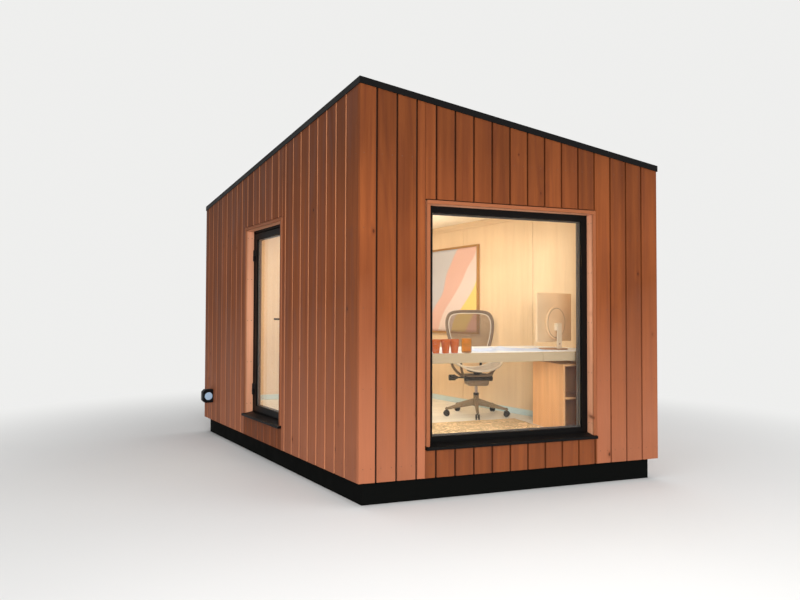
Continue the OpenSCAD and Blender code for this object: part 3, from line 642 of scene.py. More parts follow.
@shared
def painted(name, base, roughness, cloud=None, grit=None, metallic=0.0, specular=0.5):
    """Even paint, paper or metal. Cloud holds the scale, detail, low and high of its drift of tone, and grit the
    scale, detail, depth and strength of its fine relief."""
    paint = Finish(name, roughness, metallic, specular)
    place = paint.object_position()
    if cloud:
        scale, detail, low, high = cloud
        base = paint.shade(base, paint.drift(place, scale, low, high, detail))
    paint.set("Base Color", base)
    if grit:
        scale, detail, relief, strength = grit
        paint.bump(paint.noise(place, scale, detail), relief, strength)
    return paint.material


@shared
def clear_glass(name, base, roughness=0.0, bend=1.45):
    """Clear glass that lamp rays pass straight through, so that it throws no dark shadow."""
    glass = Finish(name, roughness)
    glass.set("Base Color", base)
    glass.set("Transmission Weight", 1.0)
    glass.set("IOR", bend)
    ray = glass.node("LightPath").outputs["Is Shadow Ray"]
    glass.surface(glass.mix(ray, glass.shader, glass.node("BsdfTransparent")))
    return glass.material


def laid_floor(name, base):
    """Pale floor planks: brick courses along the front wall with a soft figure in each."""
    floor = Finish(name, 0.42)
    place = floor.object_position()
    planks = floor.node("TexBrick", {
        "Vector": place, "Color1": base, "Color2": tuple(v * 0.88 for v in base),
        "Mortar": tuple(v * 0.45 for v in base), "Scale": 1.0, "Mortar Size": 0.0016, "Mortar Smooth": 0.2,
        "Bias": 0.0, "Brick Width": 1.28, "Row Height": 0.19,
    }, offset=0.37)
    figure = floor.noise(floor.stretch(place, (2.2, 38, 1)), 1.0, 4.0, 0.55, 0.3)
    floor.set("Base Color", floor.shade(planks.outputs["Color"], floor.fade(figure, 0.3, 0.7, 0.93, 1.05)))
    floor.set("Roughness", floor.fade(figure, 0.3, 0.7, 0.36, 0.5))
    floor.bump(floor.times(planks.outputs["Fac"], -1.0), 0.001, 0.6)
    return floor.material


def roof_rubber(name, base):
    """Rubber membrane with a fine orange peel, faint puddle marks and dust."""
    rubber = Finish(name, 0.7)
    place = rubber.object_position()
    puddle = rubber.noise(place, 1.6, 4.0, 0.6, 0.6)
    dust = tuple(v * 1.7 + 0.01 for v in base)
    rubber.set("Base Color", rubber.blend(rubber.fade(puddle, 0.42, 0.62, 0.0, 0.55), base, dust))
    rubber.set("Roughness", rubber.fade(puddle, 0.4, 0.65, 0.6, 0.85))
    rubber.bump(rubber.noise(place, 260.0, 2.0), 0.0006, 0.7)
    return rubber.material


def jute(name, base):
    """Coarse braided jute on the piece's own map in metres: cells a finger wide, drawn out along the braid, with
    dark gaps between them, a tone of their own and loose fibres."""
    cloth = Finish(name, 0.9, specular=0.1)
    place = cloth.uv()
    wave = cloth.node("TexNoise", {"Vector": place, "Scale": 9.0}).outputs["Color"]
    bent = cloth.node("VectorMath", {0: place, 1: wave, 2: (0.02, 0.02, 0.02)}, operation="MULTIPLY_ADD")
    bent = cloth.node("VectorMath", {0: bent.outputs["Vector"], 1: place}, operation="ADD").outputs["Vector"]
    strand = cloth.cells(cloth.stretch(bent, (26, 13, 1)), 1.0)
    edge = cloth.fade(strand["Distance"], 0.30, 0.62, 1.0, 0.0)
    own = cloth.fade(cloth.split(strand["Color"])[0], 0.0, 1.0, 0.62, 1.2)
    fibres = cloth.noise(cloth.stretch(place, (900, 300, 1)), 1.0, 3.0)
    value = cloth.times(own, cloth.fade(edge, 0.0, 1.0, 0.66, 1.05))
    value = cloth.add(value, cloth.fade(fibres, 0.3, 0.7, -0.07, 0.07))
    cloth.set("Base Color", cloth.shade(base, value))
    cloth.bump(cloth.add(edge, cloth.times(fibres, 0.2)), 0.003)
    return cloth.material


def open_mesh(name, base, closed, pitch=0.0034):
    """Open woven mesh: threads both ways on the piece's own map, and clear holes where both sine waves stand higher
    than the closed share."""
    cloth = Finish(name, 0.7, specular=0.3)
    waves = [
        cloth.maths("ABSOLUTE", cloth.maths("SINE", cloth.times(way, math.pi / pitch)))
        for way in cloth.split(cloth.uv())[0:2]
    ]
    hole = cloth.maths("MINIMUM", *waves)
    cloth.set("Base Color", cloth.shade(base, cloth.drift(cloth.uv(), 14.0, 0.85, 1.12, 3.0)))
    cloth.set("Alpha", cloth.fade(hole, closed, closed + 0.14, 1.0, 0.0))
    cloth.bump(hole, 0.0006, 0.5)
    return cloth.material


def fired_clay(name, base):
    """Terracotta: chalky bloom in soft patches over a sandy body."""
    clay = Finish(name, 0.85, specular=0.25)
    place = clay.object_position()
    bloom = clay.fade(clay.noise(place, 26.0, 4.0, 0.65, 0.4), 0.52, 0.75, 0.0, 0.55)
    clay.set("Base Color", clay.blend(bloom, base, tuple(v * 0.7 + 0.22 for v in base)))
    clay.bump(clay.noise(place, 420.0, 3.0), 0.0004, 0.8)
    return clay.material


def lamp_glow(name, base, strength):
    """Frosted lamp cover that gives off a little light of its own."""
    glow = Finish(name, 0.4)
    glow.set("Base Color", base)
    glow.set("Emission Color", base)
    glow.set("Emission Strength", strength)
    return glow.material


def plain_canvas(name, grounds):
    """Printed canvas: broad slanting fields of a few quiet colours with soft edges, on the piece's own map."""
    canvas = Finish(name, 0.75, specular=0.2)
    across, along = canvas.split(canvas.uv())[0:2]
    sway = canvas.noise(canvas.uv(), 1.6, 1.0, 0.3)
    slant = canvas.add(canvas.times(across, 0.8), canvas.times(along, 0.55))
    slant = canvas.add(slant, canvas.times(sway, 0.35))
    base = grounds[0]
    for number, ground in enumerate(grounds[1:]):
        edge = 0.30 + 0.22 * number
        base = canvas.blend(canvas.fade(slant, edge, edge + 0.012), base, ground)
    threads = canvas.noise(canvas.stretch(canvas.uv(), (700, 700, 1)), 1.0, 1.0)
    canvas.set("Base Color", canvas.shade(base, canvas.fade(threads, 0.3, 0.7, 0.96, 1.03)))
    canvas.bump(threads, 0.0002, 0.6)
    return canvas.material


def lining_wood():
    return timber(
        "lining_wood", colours().lining, colours().lining_dark, rings=4.0, contrast=0.55, roughness=0.55, knots=0.2,
        spread=0.04, relief=0.0002,
    )


def black_metal():
    return powder_coat("black_coat", colours().black)


def screw_steel():
    return powder_coat("screw_steel", tint(92, 64, 50), 0.5, 0.3)


def cladding_wood():
    given = colours()
    return timber(
        "cladding_wood", given.board, given.board_dark, given.board_foot, cheek_highlight=given.board_cheek_highlight, contrast=1.2, knots=1.4,
    )


def surround_wood():
    given = colours()
    return timber(
        "surround_wood", given.surround, given.surround_dark, face=given.surround_face_shade,
        rings=5.0, contrast=0.5, knots=0.8, spread=0.05,
    )


# Walls and openings

def cut_boards(span, joints, gap, holes, low):
    """Rows of (first, last, bottom, top, ease at first, ease at last, board) for boards between joints.
    A board that meets a hole is split at the hole's sides, and its middle is left out over the hole's height."""
    edges = [None, *joints, None]
    rows = []
    for number, (left, right) in enumerate(zip(edges[:-1], edges[1:])):
        first = span[0] if left is None else left + gap / 2
        last = span[1] if right is None else right - gap / 2
        sides = [edge for hole in holes for edge in hole[:2] if first + 0.004 < edge < last - 0.004]
        cuts = sorted({first, last, *sides})
        for start, end in zip(cuts[:-1], cuts[1:]):
            ease = (start == first or any(abs(start - hole[1]) < 1e-6 for hole in holes),
                    end == last or any(abs(end - hole[0]) < 1e-6 for hole in holes))
            foot = low
            met = [hole for hole in holes if hole[0] < (start + end) / 2 < hole[1]]
            for hole in sorted(met, key=lambda hole: hole[2]):
                rows.append((start, end, foot, hole[2], *ease, number))
                foot = hole[3]
            rows.append((start, end, foot, OPEN_END, *ease, number))
    return np.array(rows, float)


def board_shells(plan, side, rows, outer, inner, cover, ease, rng, cheek_highlight_tone=None, drop=0.0):
    """Tubes of upright boards. The plan of each is a six-point ring, eased at its two outer edges; boards at a
    corner follow the neighbouring face at both depths; an open top follows the roof line under the capping, less
    the drop. Cheeks and eased edges can have a tone of their own, which gives them a painted highlight."""
    first, last, low, high = rows[:, 0], rows[:, 1], rows[:, 2], rows[:, 3]
    start_outer, end_outer = side.ends(outer, cover)
    start_inner, end_inner = side.ends(inner, cover)
    first_in = np.where(first <= start_outer + 1e-6, start_inner, first)
    last_in = np.where(last >= end_outer - 1e-6, end_inner, last)
    soft_a, soft_b = ease * rows[:, 4], ease * rows[:, 5]
    turn = 1 if inner > outer else -1
    face, rear = np.full_like(first, outer), np.full_like(first, inner)
    across = np.stack([first, first + soft_a, last - soft_b, last, last_in, first_in], axis=1)
    depth = np.stack([outer + turn * soft_a, face, face, outer + turn * soft_b, rear, rear], axis=1)
    bottom = np.broadcast_to(low[:, None], across.shape)
    foot = np.stack([across, depth, bottom], axis=-1)
    roof = plan.roof_line(side.place(foot)) - plan.sizes.cap - drop
    top = np.where(high[:, None] > OPEN_END - 1, roof, high[:, None])
    rings = np.stack([foot, np.stack([across, depth, top], axis=-1)], axis=1)
    boards = rows[:, 6].astype(int)
    shifts = rng.uniform(0, 40, (boards.max() + 1, 3))[boards]
    tones = np.repeat(rng.uniform(0, 1, boards.max() + 1)[boards], 12).reshape(-1, 2, 6)
    if cheek_highlight_tone is not None:
        tones[:, :, (0, 3, 4, 5)] = cheek_highlight_tone
    return tubes(side.place(rings), rings + shifts[:, None, None, :]), tones.reshape(-1)


def studs(side, places, radius, axis):
    """Screw heads: one low turned cap laid along the axis at every place."""
    profile = [[0.0004, -0.0006], [radius, -0.0006], [radius, 0.0002], [0.8 * radius, 0.0006], [0.0004, 0.0007]]
    cap = turned(profile, 10, (0, 0, 0), axis)
    return side.solid(cap[None] + np.asarray(places, float)[:, None, None, :])


def fixings(side, rows, depth, spots, heights, narrow, top, radius, way):
    """Screw heads on all boards wider than narrow, at every height well inside a board, up to the top. Each spot
    is a share of the board's width and a distance past it."""
    return [studs(side, [
        [first + share * (last - first) + past, depth, height]
        for first, last, low, high, *_ in rows if last - first > narrow
        for height in heights if low + 0.03 < height < min(high, top) - 0.03
        for share, past in spots
    ], radius, (0, way, 0))]


def clad_side(plan, side, name, joints, holes, nodes, over, rng):
    """One wall: boards outside, dark backing, and lining sheets inside. A wall that lies over its neighbours runs to
    the corners; the others stop at the boards and the backing of those. Boards that end at knee height, under an
    opening, have a tone that marks them as sheltered and in painted shade under the sill: they stay unbleached and
    darker."""
    given = plan.sizes
    openings = [OPENINGS[name]] if holes else []
    deep = given.wall - given.sheet_thickness
    cover = 0.0 if over else given.board_thickness + 0.001
    rows = cut_boards(side.ends(0.0, cover), joints, given.board_gap, holes, given.plinth)
    # Painted highlight: on the side walls, the cheeks and eased edges get a tone that takes the pale cheek colour.
    cheek_highlight_tone = None if over else 2.0
    shell, tone = board_shells(plan, side, rows, 0.0, given.board_thickness, cover, given.board_edge, rng, cheek_highlight_tone)
    # Boards under an opening get a low tone: less bleaching, and painted shade under the sill.
    knee, sill_shade_and_shelter = 0.6, -2.0
    tone = [tone + sill_shade_and_shelter * np.repeat(rows[:, 3] < knee, 12)]
    make(name + "_boards", [shell], cladding_wood(), "cladding", stands_for=nodes, tone=tone)
    nails = fixings(
        side, rows, depth=0.0, spots=((0, 0.032), (1, -0.032)), heights=(0.27, 0.84, 1.42, 2.00, 2.54),
        narrow=0.07, top=2.58, radius=0.0034, way=-1,
    )
    make(name + "_nails", nails, screw_steel(), "handle_metal")

    cover = given.board_thickness + 0.0005 if over else deep
    rows = cut_boards(side.ends(given.backing, cover), [], 0.0, openings, given.plinth + 0.004)
    shell, tone = board_shells(plan, side, rows, given.backing, deep, cover, 0.0, rng)
    dark = moulded("wall_backing", (0.012, 0.011, 0.010), 0.8, 300.0)
    make(name + "_backing", [shell], dark, "plinth_black", stands_for=nodes, tone=[tone])

    cover = deep if over else given.wall
    start, end = side.ends(given.wall, cover)
    count = max(1, round((end - start) / given.sheet_width))
    seams = [start + (end - start) * number / count for number in range(1, count)]
    rows = cut_boards((start, end), seams, given.sheet_joint, openings, LINING_FOOT)
    shell, tone = board_shells(plan, side, rows, given.wall, deep, cover, 0.0012, rng, drop=given.lining_drop)
    make(name + "_lining", [shell], lining_wood(), "lining", stands_for=nodes, tone=[tone])
    screws = fixings(
        side, rows, depth=given.wall, spots=((0, 0.05), (0.5, 0), (1, -0.05)), heights=np.arange(0.48, 2.40, 0.31),
        narrow=0.30, top=2.40, radius=0.0042, way=1,
    )
    brass = powder_coat("lining_screw", tint(190, 150, 104), 0.5, 0.3)
    make(name + "_lining_screws", screws, brass, "handle_metal")


def surround(plan, side, name, nodes):
    """Two jambs and a head of eased timber round an opening. The jambs' feet follow the slope of the sill."""
    given = plan.sizes
    first, last, bottom, top = OPENINGS[name]
    thick, out = given.surround, -given.proud
    rng = np.random.default_rng(given.seed + 3)

    def on_sill(point):
        """Foot of a jamb: the points of its lower half rise with the depth, by the slope of the sill."""
        point = np.array(point, float)
        foot = (point[..., 2] - bottom) / (top - bottom) < 0.5
        point[..., 2] += np.where(foot, 0.020 + 0.016 * (point[..., 1] + 0.028) / 0.108, 0.0)
        return side.place(point)

    under_head = top - thick - 0.0006
    jambs = soft_boxes(
        on_sill, [[first, out, bottom], [last - thick, out, bottom]],
        [[first + thick, given.reveal, under_head], [last, given.reveal, under_head]], 0.002, rng.uniform(0, 30, 2),
    )
    head = soft_boxes(
        side.place, [first, out, top - thick], [last, given.reveal, top], 0.002, rng.uniform(0, 30, 1), 0,
    )
    # Tone from 0 at the outer face to 1 at the back of the reveal; the low tones paint shade on the outer face.
    tones = [
        ((shell[0] - side.origin)[:, :2] @ side.across - out) / (given.reveal - out) for shell in (jambs, head)
    ]
    make(name + "_opening_surround", [jambs, head], surround_wood(), "surround_timber", stands_for=nodes, tone=tones)
    rows = [(depth, height) for depth in (0.018, 0.058) for height in np.linspace(bottom + 0.12, top - 0.10, 5)]
    screws = [
        studs(side, [[edge + way * thick, depth, height] for depth, height in rows], 0.0035, (way, 0, 0))
        for edge, way in ((first, 1), (last, -1))
    ]
    make(name + "_surround_screws", screws, screw_steel(), "handle_metal")


def ring_bars(side, light, width, front, back, soft=0.0008, grow=0.0):
    """Four bars round a light, which can be grown: two uprights over the full height and two rails between them."""
    first, last, low, high = light[0] - grow, light[1] + grow, light[2] - grow, light[3] + grow
    ups = soft_boxes(
        side.place, [[first, front, low], [last - width, front, low]],
        [[first + width, back, high], [last, back, high]], soft,
    )
    rails = soft_boxes(
        side.place, [[first + width, front, low], [first + width, front, high - width]],
        [[last - width, back, low + width], [last - width, back, high]], soft, 0, 0,
    )
    return [ups, rails]


def glazing(side, name, light, front, unit_depth, room_side, body, node):
    """Sealed glass unit: two panes, a bright spacer between them and a pale bead on the room side."""
    first, last, low, high = light
    bite, pane, back = 0.010, sizes().pane, front + unit_depth
    panes = soft_boxes(
        side.place, [[first - bite, front, low - bite], [first - bite, back - pane, low - bite]],
        [[last + bite, front + pane, high + bite], [last + bite, back, high + bite]], 0.0004,
    )
    glass = clear_glass("window_pane", (0.985, 0.995, 0.99), bend=1.2)
    make(name + "_panes", [panes], glass, "glass", body, (node,))
    silver = painted("spacer_metal", (0.16, 0.15, 0.14), 0.32, grit=(500.0, 1.0, 0.0001, 0.5), metallic=0.6)
    spacer = ring_bars(side, light, 0.007, front + pane, back - pane, grow=0.004)
    make(name + "_spacer", spacer, silver, "handle_metal", body)
    bead = ring_bars(side, light, 0.009, back, room_side, grow=0.001)
    make(name + "_bead", bead, powder_coat("bead_paint", (0.10, 0.085, 0.075), 0.5), "handle_metal", body)


# Operators

class POD_OT_walls(Operator):
    """Boards, backing and lining of the four walls"""

    bl_idname = "pod.walls"
    bl_label = "Walls"

    def execute(self, context):
        plan = Plan(sizes())
        given = plan.sizes
        rng = np.random.default_rng(given.seed)
        gap, corner_board, side_board = 0.008, 0.1295, 0.1072
        window, door = (
            [(first - gap, last + gap, low - 0.002, high + gap)] for first, last, low, high in OPENINGS.values()
        )
        long_joints = np.arange(corner_board, given.front - 0.06, given.board_pitch)
        side_joints = np.arange(given.side - side_board, 0.06, -given.board_pitch)[::-1]
        door_wall = ("left_wall_near", "left_wall_far", "left_wall_head", "left_wall_sill")
        for side, name, joints, holes, nodes, over in (
            (plan.front, "front", long_joints, window, ("front_wall",), True),
            (plan.left, "left", side_joints, door, door_wall, False),
            (plan.right, "right", side_joints, [], ("right_wall",), False),
            (plan.back, "back", long_joints, [], ("back_wall",), True),
        ):
            clad_side(plan, side, name, joints, holes, nodes, over, rng)
        return {"FINISHED"}


class POD_OT_shell(Operator):
    """Plinth, floor, ceiling, roof covering and capping"""

    bl_idname = "pod.shell"
    bl_label = "Plinth, floor and roof"

    def execute(self, context):
        shades, plan = colours(), Plan(sizes())
        dress_nodes("plinth", moulded("plinth_skin", shades.plinth, 0.85, 240.0, 0.05), 0.003)
        dress_nodes("floor_deck", timber("floor_frame_wood", tint(196, 160, 112), tint(160, 122, 78), contrast=0.6))
        dress_nodes("floor_finish", laid_floor("pale_floor", shades.floor))
        rubber = roof_rubber("roof_rubber", shades.membrane)
        dress_nodes("roof_front roof_rear", rubber)
        white = painted("ceiling_paint", shades.ceiling, 0.7, (2.0, 3.0, 0.96, 1.03), (340.0, 2.0, 0.0002, 0.6))
        dress_nodes("ceiling_front ceiling_rear", white)
        dress_nodes("capping_front capping_right capping_back capping_left", black_metal(), 0.0015)
        self.trims(plan)
        under_edge = 0.0195
        seams = []
        for at in (0.95, 1.95, 2.95):
            start = plan.left.place([at, 0.20, 0.0])
            end = start + np.array([*(plan.east * (plan.sizes.front - 0.40)), 0.0])
            path = start + np.linspace(0, 1, 25)[:, None] * (end - start)
            path[:, 2] = plan.roof_line(path) - under_edge
            seams.append(tubes(sweep(path, 0.045, 0.0028, 12, power=4.0)))
        make("roof_laps", seams, rubber, "roof_membrane")
        return {"FINISHED"}

    def trims(self, plan):
        """Two-step moulding under the level parts of the ceiling, and a skirting at the foot of the walls, whose pale
        blue is a painted reflection of cool light along the foot of the wall.
        """
        wall, top = plan.sizes.wall, plan.sizes.eaves - 0.2315
        moulding, skirting = [], []
        for side, moulding_start, skirting_start in ((plan.right, 0.45, 0.93), (plan.back, 0.015, 0.010)):
            low, high = side.ends(wall, wall)
            start = low + moulding_start
            moulding.append(soft_boxes(
                side.place, [[start, wall, top - 0.062], [start, wall + 0.0135, top - 0.026]],
                [[high - 0.015, wall + 0.014, top], [high - 0.015, wall + 0.030, top]], 0.0015, [0.0, 7.0], 0,
            ))
            start = low + skirting_start
            skirting.append(soft_boxes(
                side.place, [start, wall, LINING_FOOT], [high - 0.010, wall + 0.012, 0.418], 0.0015, 0, 0,
            ))
        make("ceiling_moulding", moulding, lining_wood(), "lining")
        cloud, grit = (4.0, 3.0, 0.95, 1.03), (300.0, 2.0, 0.0001, 0.5)
        # Painted reflection: the skirting's pale blue stands for cool light reflected along the foot of the wall.
        paint = painted("skirting_paint", tint(196, 214, 214), 0.45, cloud, grit, specular=0.3)
        make("skirting", skirting, paint, "lining")


class POD_OT_window(Operator):
    """Surround, frame, sill and glass of the front window"""

    bl_idname = "pod.window"
    bl_label = "Window"

    def execute(self, context):
        plan = Plan(sizes())
        surround(plan, plan.front, "front", ("window_surround",))
        dress_nodes("window_sill window_frame", black_metal(), 0.0015)
        low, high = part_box("window_glass")
        rebate = 0.012
        x, y = plan.corner
        light = (low.x - x + rebate, high.x - x - rebate, low.z + rebate, high.z - rebate)
        front = low.y - y
        glazing(
            plan.front, "window", light, front=front, unit_depth=high.y - low.y, room_side=front + 0.046,
            body="pod", node="window_glass",
        )
        return {"FINISHED"}


class POD_OT_door(Operator):
    """Surround, frame, leaf, glass, hinges and handles of the door"""

    bl_idname = "pod.door"
    bl_label = "Door"

    def execute(self, context):
        plan = Plan(sizes())
        surround(plan, plan.left, "left", ("door_surround",))
        dress_nodes("door_sill door_frame door_leaf", black_metal(), 0.0015)
        steel = powder_coat("handle_coat", tint(24, 23, 23), 0.4, 0.3)
        dress_nodes("door_hinges door_knuckles", steel, 0.0006)
        glazing(
            plan.left, "door", (1.483, 2.152, 0.460, 2.123), front=0.092, unit_depth=0.024, room_side=0.1275,
            body="door", node="door_glass",
        )
        at, lever_level, barrel_level = 1.455, 1.33, 1.262
        for name, face, way in (("outside", 0.080, -1), ("inside", 0.128, 1)):
            low, high = sorted((face, face + way * 0.008))
            plate = soft_boxes(plan.left.place, [1.442, low, 1.220], [1.468, high, 1.390])
            path = smooth_path([[along, face + way * out, lever_level] for along, out in (
                (at, 0.004), (at, 0.030), (1.460, 0.046), (1.475, 0.0505), (1.52, 0.051), (1.588, 0.050),
            )], 40)
            lever = plan.left.solid(sweep(path, 0.0085, 0.0085, 16, power=2.4))
            profile = [[0.006, 0], [0.0085, 0.001], [0.0085, 0.012], [0.006, 0.013]]
            barrel = plan.left.solid(turned(profile, 20, [at, face + way * 0.007, barrel_level], (0, way, 0)))
            make("handle_" + name, [plate, lever, barrel], steel, "handle_metal", "door", ("door_handle_" + name,))
        return {"FINISHED"}


class POD_OT_desk(Operator):
    """Desk, rail and cabinet"""

    bl_idname = "pod.desk"
    bl_label = "Desk"

    def execute(self, context):
        shades, plan = colours(), Plan(sizes())
        laminate = painted("desk_laminate", shades.desk, 0.35, (5.0, 3.0, 0.97, 1.02), (500.0, 2.0, 0.0001, 0.5))
        dress_nodes("desk_top", laminate, 0.0015)
        rail = timber("rail_wood", shades.rail, tint(186, 164, 130), rings=6.0, contrast=0.5, spread=0.05, knots=0.2)
        low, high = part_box("desk_rail")
        joint, slack, over = plan.corner[0] + 1.627, 0.007, 0.0003
        bars = soft_boxes(
            np.asarray, [[low.x + slack, low.y, low.z], [joint + 0.001, low.y, low.z]],
            [[joint - 0.001, high.y - over, high.z + over], [high.x - slack, high.y - over, high.z + over]],
            0.0015, [0, 9], 0,
        )
        make("desk_fascia", [bars], rail, "desk_rail", stands_for=("desk_rail",))
        self.cabinet(shades)
        return {"FINISHED"}

    def cabinet(self, shades):
        """Two uprights, three shelves between them and a rear panel."""
        low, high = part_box("desk_cabinet")
        veneer = timber(
            "cabinet_veneer", shades.cabinet, shades.cabinet_dark, rings=5.0, contrast=0.6, spread=0.05, knots=0.2,
            roughness=0.45,
        )
        board, inset = 0.018, 0.001
        left, right, rear = low.x + board, high.x - board, high.y - board
        middle = (low.z + high.z) / 2
        uprights = soft_boxes(
            np.asarray, [[low.x, low.y, low.z], [right, low.y, low.z]],
            [[left, high.y, high.z], [high.x, high.y, high.z]], 0.001, [1, 5],
        )
        shelves = ((inset, low.z + 0.0005, low.z + board), (0.012, middle - board / 2, middle + board / 2),
                   (inset, high.z - board, high.z - 0.0005))
        shelves = soft_boxes(
            np.asarray, [[left, low.y + front, foot] for front, foot, _ in shelves],
            [[right, rear, top] for *_, top in shelves], 0.001, [2, 7, 12], 1,
        )
        panel = soft_boxes(
            np.asarray, [left, rear, low.z], [right, high.y - inset, high.z - inset], 0.001, 4,
        )
        make(
            "cabinet_boards", [uprights, shelves, panel], veneer, "cabinet_wood", stands_for=("desk_cabinet",),
            tone=[0.6, 0.4, 0.4],
        )


class POD_OT_chair(Operator):
    """Task chair with five castors, gas lift, tilt box, mesh seat and mesh back"""

    bl_idname = "pod.chair"
    bl_label = "Chair"

    def execute(self, context):
        shades, plan = colours(), Plan(sizes())
        base, seat = (plan.spot(1.63016, 1.470, FLOOR_LEVEL, turn) for turn in (-23, -12))
        frame_plastic = moulded("chair_frame", shades.chair, 0.42)
        dark_plastic = moulded("chair_workings", shades.chair_dark, 0.5)
        self.star_base(base, dark_plastic)
        self.tilt_box(seat, frame_plastic, dark_plastic)
        rim_plastic = moulded("chair_rim", tint(222, 212, 196), 0.4)
        self.make_seat(seat, rim_plastic, dark_plastic)
        self.make_back(seat, rim_plastic, dark_plastic, shades)
        return {"FINISHED"}

    def star_base(self, base, dark):
        """Five legs, each a rounded bar whose top and underside run in straight lines from the hub to the castor;
        turned hub, collar and lift; and twin castors under hoods."""
        legs, wheels = [], []
        reach, hood_radius = 0.313, 0.0315
        part = np.linspace(0, 1, 18)
        under, over = 0.1005 - 0.038 * part, 0.1715 - 0.0895 * part
        half = np.minimum(0.0212 - 0.0078 * part, 0.014 + 0.06 * (1 - part))
        wheel = [
            [0.004, 0], [0.019, 0.0005], [0.026, 0.002], [0.028, 0.005], [0.028, 0.011], [0.0262, 0.014],
            [0.018, 0.0155], [0.004, 0.016],
        ]
        stem = [[0.008, 0], [0.009, 0.002], [0.009, 0.034], [0.006, 0.036]]
        arc = np.linspace(math.radians(-5), math.radians(150), 12)
        for angle in np.radians(-90 + 72 * np.arange(5)):
            out = np.array([math.cos(angle), math.sin(angle), 0.0])
            path = (0.012 + part * reach)[:, None] * out
            path[:, 2] = (under + over) / 2
            legs.append(base.solid(sweep(path, half, (over - under) / 2, 20, power=3.4)))
            centre = out * reach + [0, 0, 0.028]
            axle = np.array([-out[1], out[0], 0.0])
            for way in (-1, 1):
                wheels.append(base.solid(turned(wheel, 28, centre + way * axle * 0.005, way * axle)))
            hood = centre + hood_radius * (np.cos(arc)[:, None] * out + np.sin(arc)[:, None] * [0, 0, 1])
            wheels.append(base.solid(sweep(hood, 0.0045, 0.0025, 10, up=axle, power=3.0)))
            wheels.append(base.solid(turned(stem, 16, centre + [0, 0, 0.026], (0, 0, 1))))
        hub = [
            [0.012, 0.090], [0.0255, 0.091], [0.0278, 0.094], [0.0278, 0.166], [0.0272, 0.192], [0.0255, 0.199],
            [0.012, 0.200],
        ]
        legs.append(base.solid(turned(hub, 36)))
        lift = [[0.004, 0.198], [0.0145, 0.199], [0.0150, 0.201], [0.0150, 0.303], [0.004, 0.304]]
        collar = [
            [0.0155, 0.1995], [0.0262, 0.200], [0.0278, 0.203], [0.0278, 0.221], [0.0262, 0.2255], [0.0165, 0.226],
            [0.0155, 0.225],
        ]
        steel = Finish("gas_lift_metal", 0.34, metallic=0.55)
        steel.set("Base Color", tint(176, 164, 160))
        steel.bump(steel.noise(steel.stretch(steel.object_position(), (300, 300, 20)), 1.0, 1.0), 0.0001, 0.3)
        piece = partial(make, slot="chair_plastic", stands_for=("chair_base",))
        piece("chair_star_base", legs, moulded("chair_legs", tint(128, 108, 82), 0.4), smooth=40)
        piece("chair_castors", wheels, dark)
        piece("chair_gas_lift", [base.solid(turned(lift, 28))], steel.material)
        piece("chair_lift_collar", [base.solid(turned(collar, 32))], dark)

    def tilt_box(self, seat, pale, dark):
        """Tilt box under the seat: a pale lower housing that draws in downwards, a dark block and a dark drum with
        round end caps across its middle, painted shade for the recess between housing and lid, a pale lid, a rod with a
        ribbed knob, and struts up to the seat's rim."""
        body = block((-0.112, 0.108), (-0.129, 0.086), 0.028, [
            (0.3045, 0.026), (0.307, 0.015), (0.314, 0.007), (0.330, 0.002), (0.356, 0.0), (0.360, 0.003),
        ])
        lid = block((-0.128, 0.124), (-0.124, 0.086), 0.02, [
            (0.396, 0.006), (0.399, 0.002), (0.409, 0.0), (0.4125, 0.003), (0.4135, 0.010),
        ])
        drum = [
            [0.004, 0], [0.021, 0.001], [0.0245, 0.005], [0.0245, 0.030], [0.022, 0.032], [0.022, 0.228],
            [0.0245, 0.230], [0.0245, 0.281], [0.021, 0.285], [0.004, 0.286],
        ]
        rod = [[0.003, 0], [0.0085, 0.001], [0.0085, 0.125], [0.003, 0.126]]
        washer = [[0.003, 0], [0.014, 0.001], [0.016, 0.004], [0.016, 0.020], [0.010, 0.022]]
        rod_y, rod_z, crosswise = -0.040, 0.385, (1, 0, 0)
        angle = around(56)
        ribs = 0.0280 + 0.0018 * np.cos(14 * angle)
        share, height = np.array([
            [0.5, 0.0], [0.9, 0.001], [1, 0.006], [1, 0.031], [0.93, 0.033], [0.93, 0.037], [1, 0.039], [1, 0.063],
            [0.9, 0.0685], [0.5, 0.0695],
        ]).T[:, :, None]
        knob = np.stack([share * ribs * np.cos(angle), share * ribs * np.sin(angle), height + 0 * angle], axis=-1)
        parts = [
            # Painted shade: the dark block and drum fill the recess between housing and lid; rod, washer and knob are
            # real parts.
            block((-0.116, 0.112), (-0.118, 0.080), 0.02, [(0.3595, 0.0), (0.397, 0.0)]),
            turned(drum, 28, [-0.144, -0.104, 0.3775], crosswise),
            turned(rod, 16, [-0.226, rod_y, rod_z], crosswise),
            turned(washer, 20, [-0.2215, rod_y, rod_z], crosswise),
            laid_on(knob, [-0.2898, rod_y, rod_z], crosswise),
        ]
        struts = []
        for way in (-1, 1):
            thick = 0.010 if way < 0 else 0.006
            for points, count, wide, deep in (
                ([[0.118, -0.060, 0.388], [0.142, -0.062, 0.400], [0.156, -0.066, 0.428], [0.166, -0.070, 0.462],
                  [0.172, -0.072, 0.492]], 20, thick, thick * 1.3),
                ([[0.118, 0.050, 0.388], [0.160, 0.052, 0.410], [0.200, 0.056, 0.446], [0.228, 0.060, 0.490],
                  [0.238, 0.062, 0.534]], 24, 0.014, 0.009),
            ):
                path = smooth_path(np.array(points) * [way, 1, 1], count)
                struts.append(seat.solid(sweep(path, wide, deep, 12, up=(0, 1, 0.1), power=2.8)))
        post = block((-0.026, 0.026), (-0.060, 0.020), 0.008, [(0.4125, 0.001), (0.414, 0.0), (0.4405, 0.0)], 6)
        piece = partial(make, slot="chair_plastic", stands_for=("chair_mechanism",))
        piece("chair_tilt_box", [seat.solid(body), seat.solid(lid)], pale)
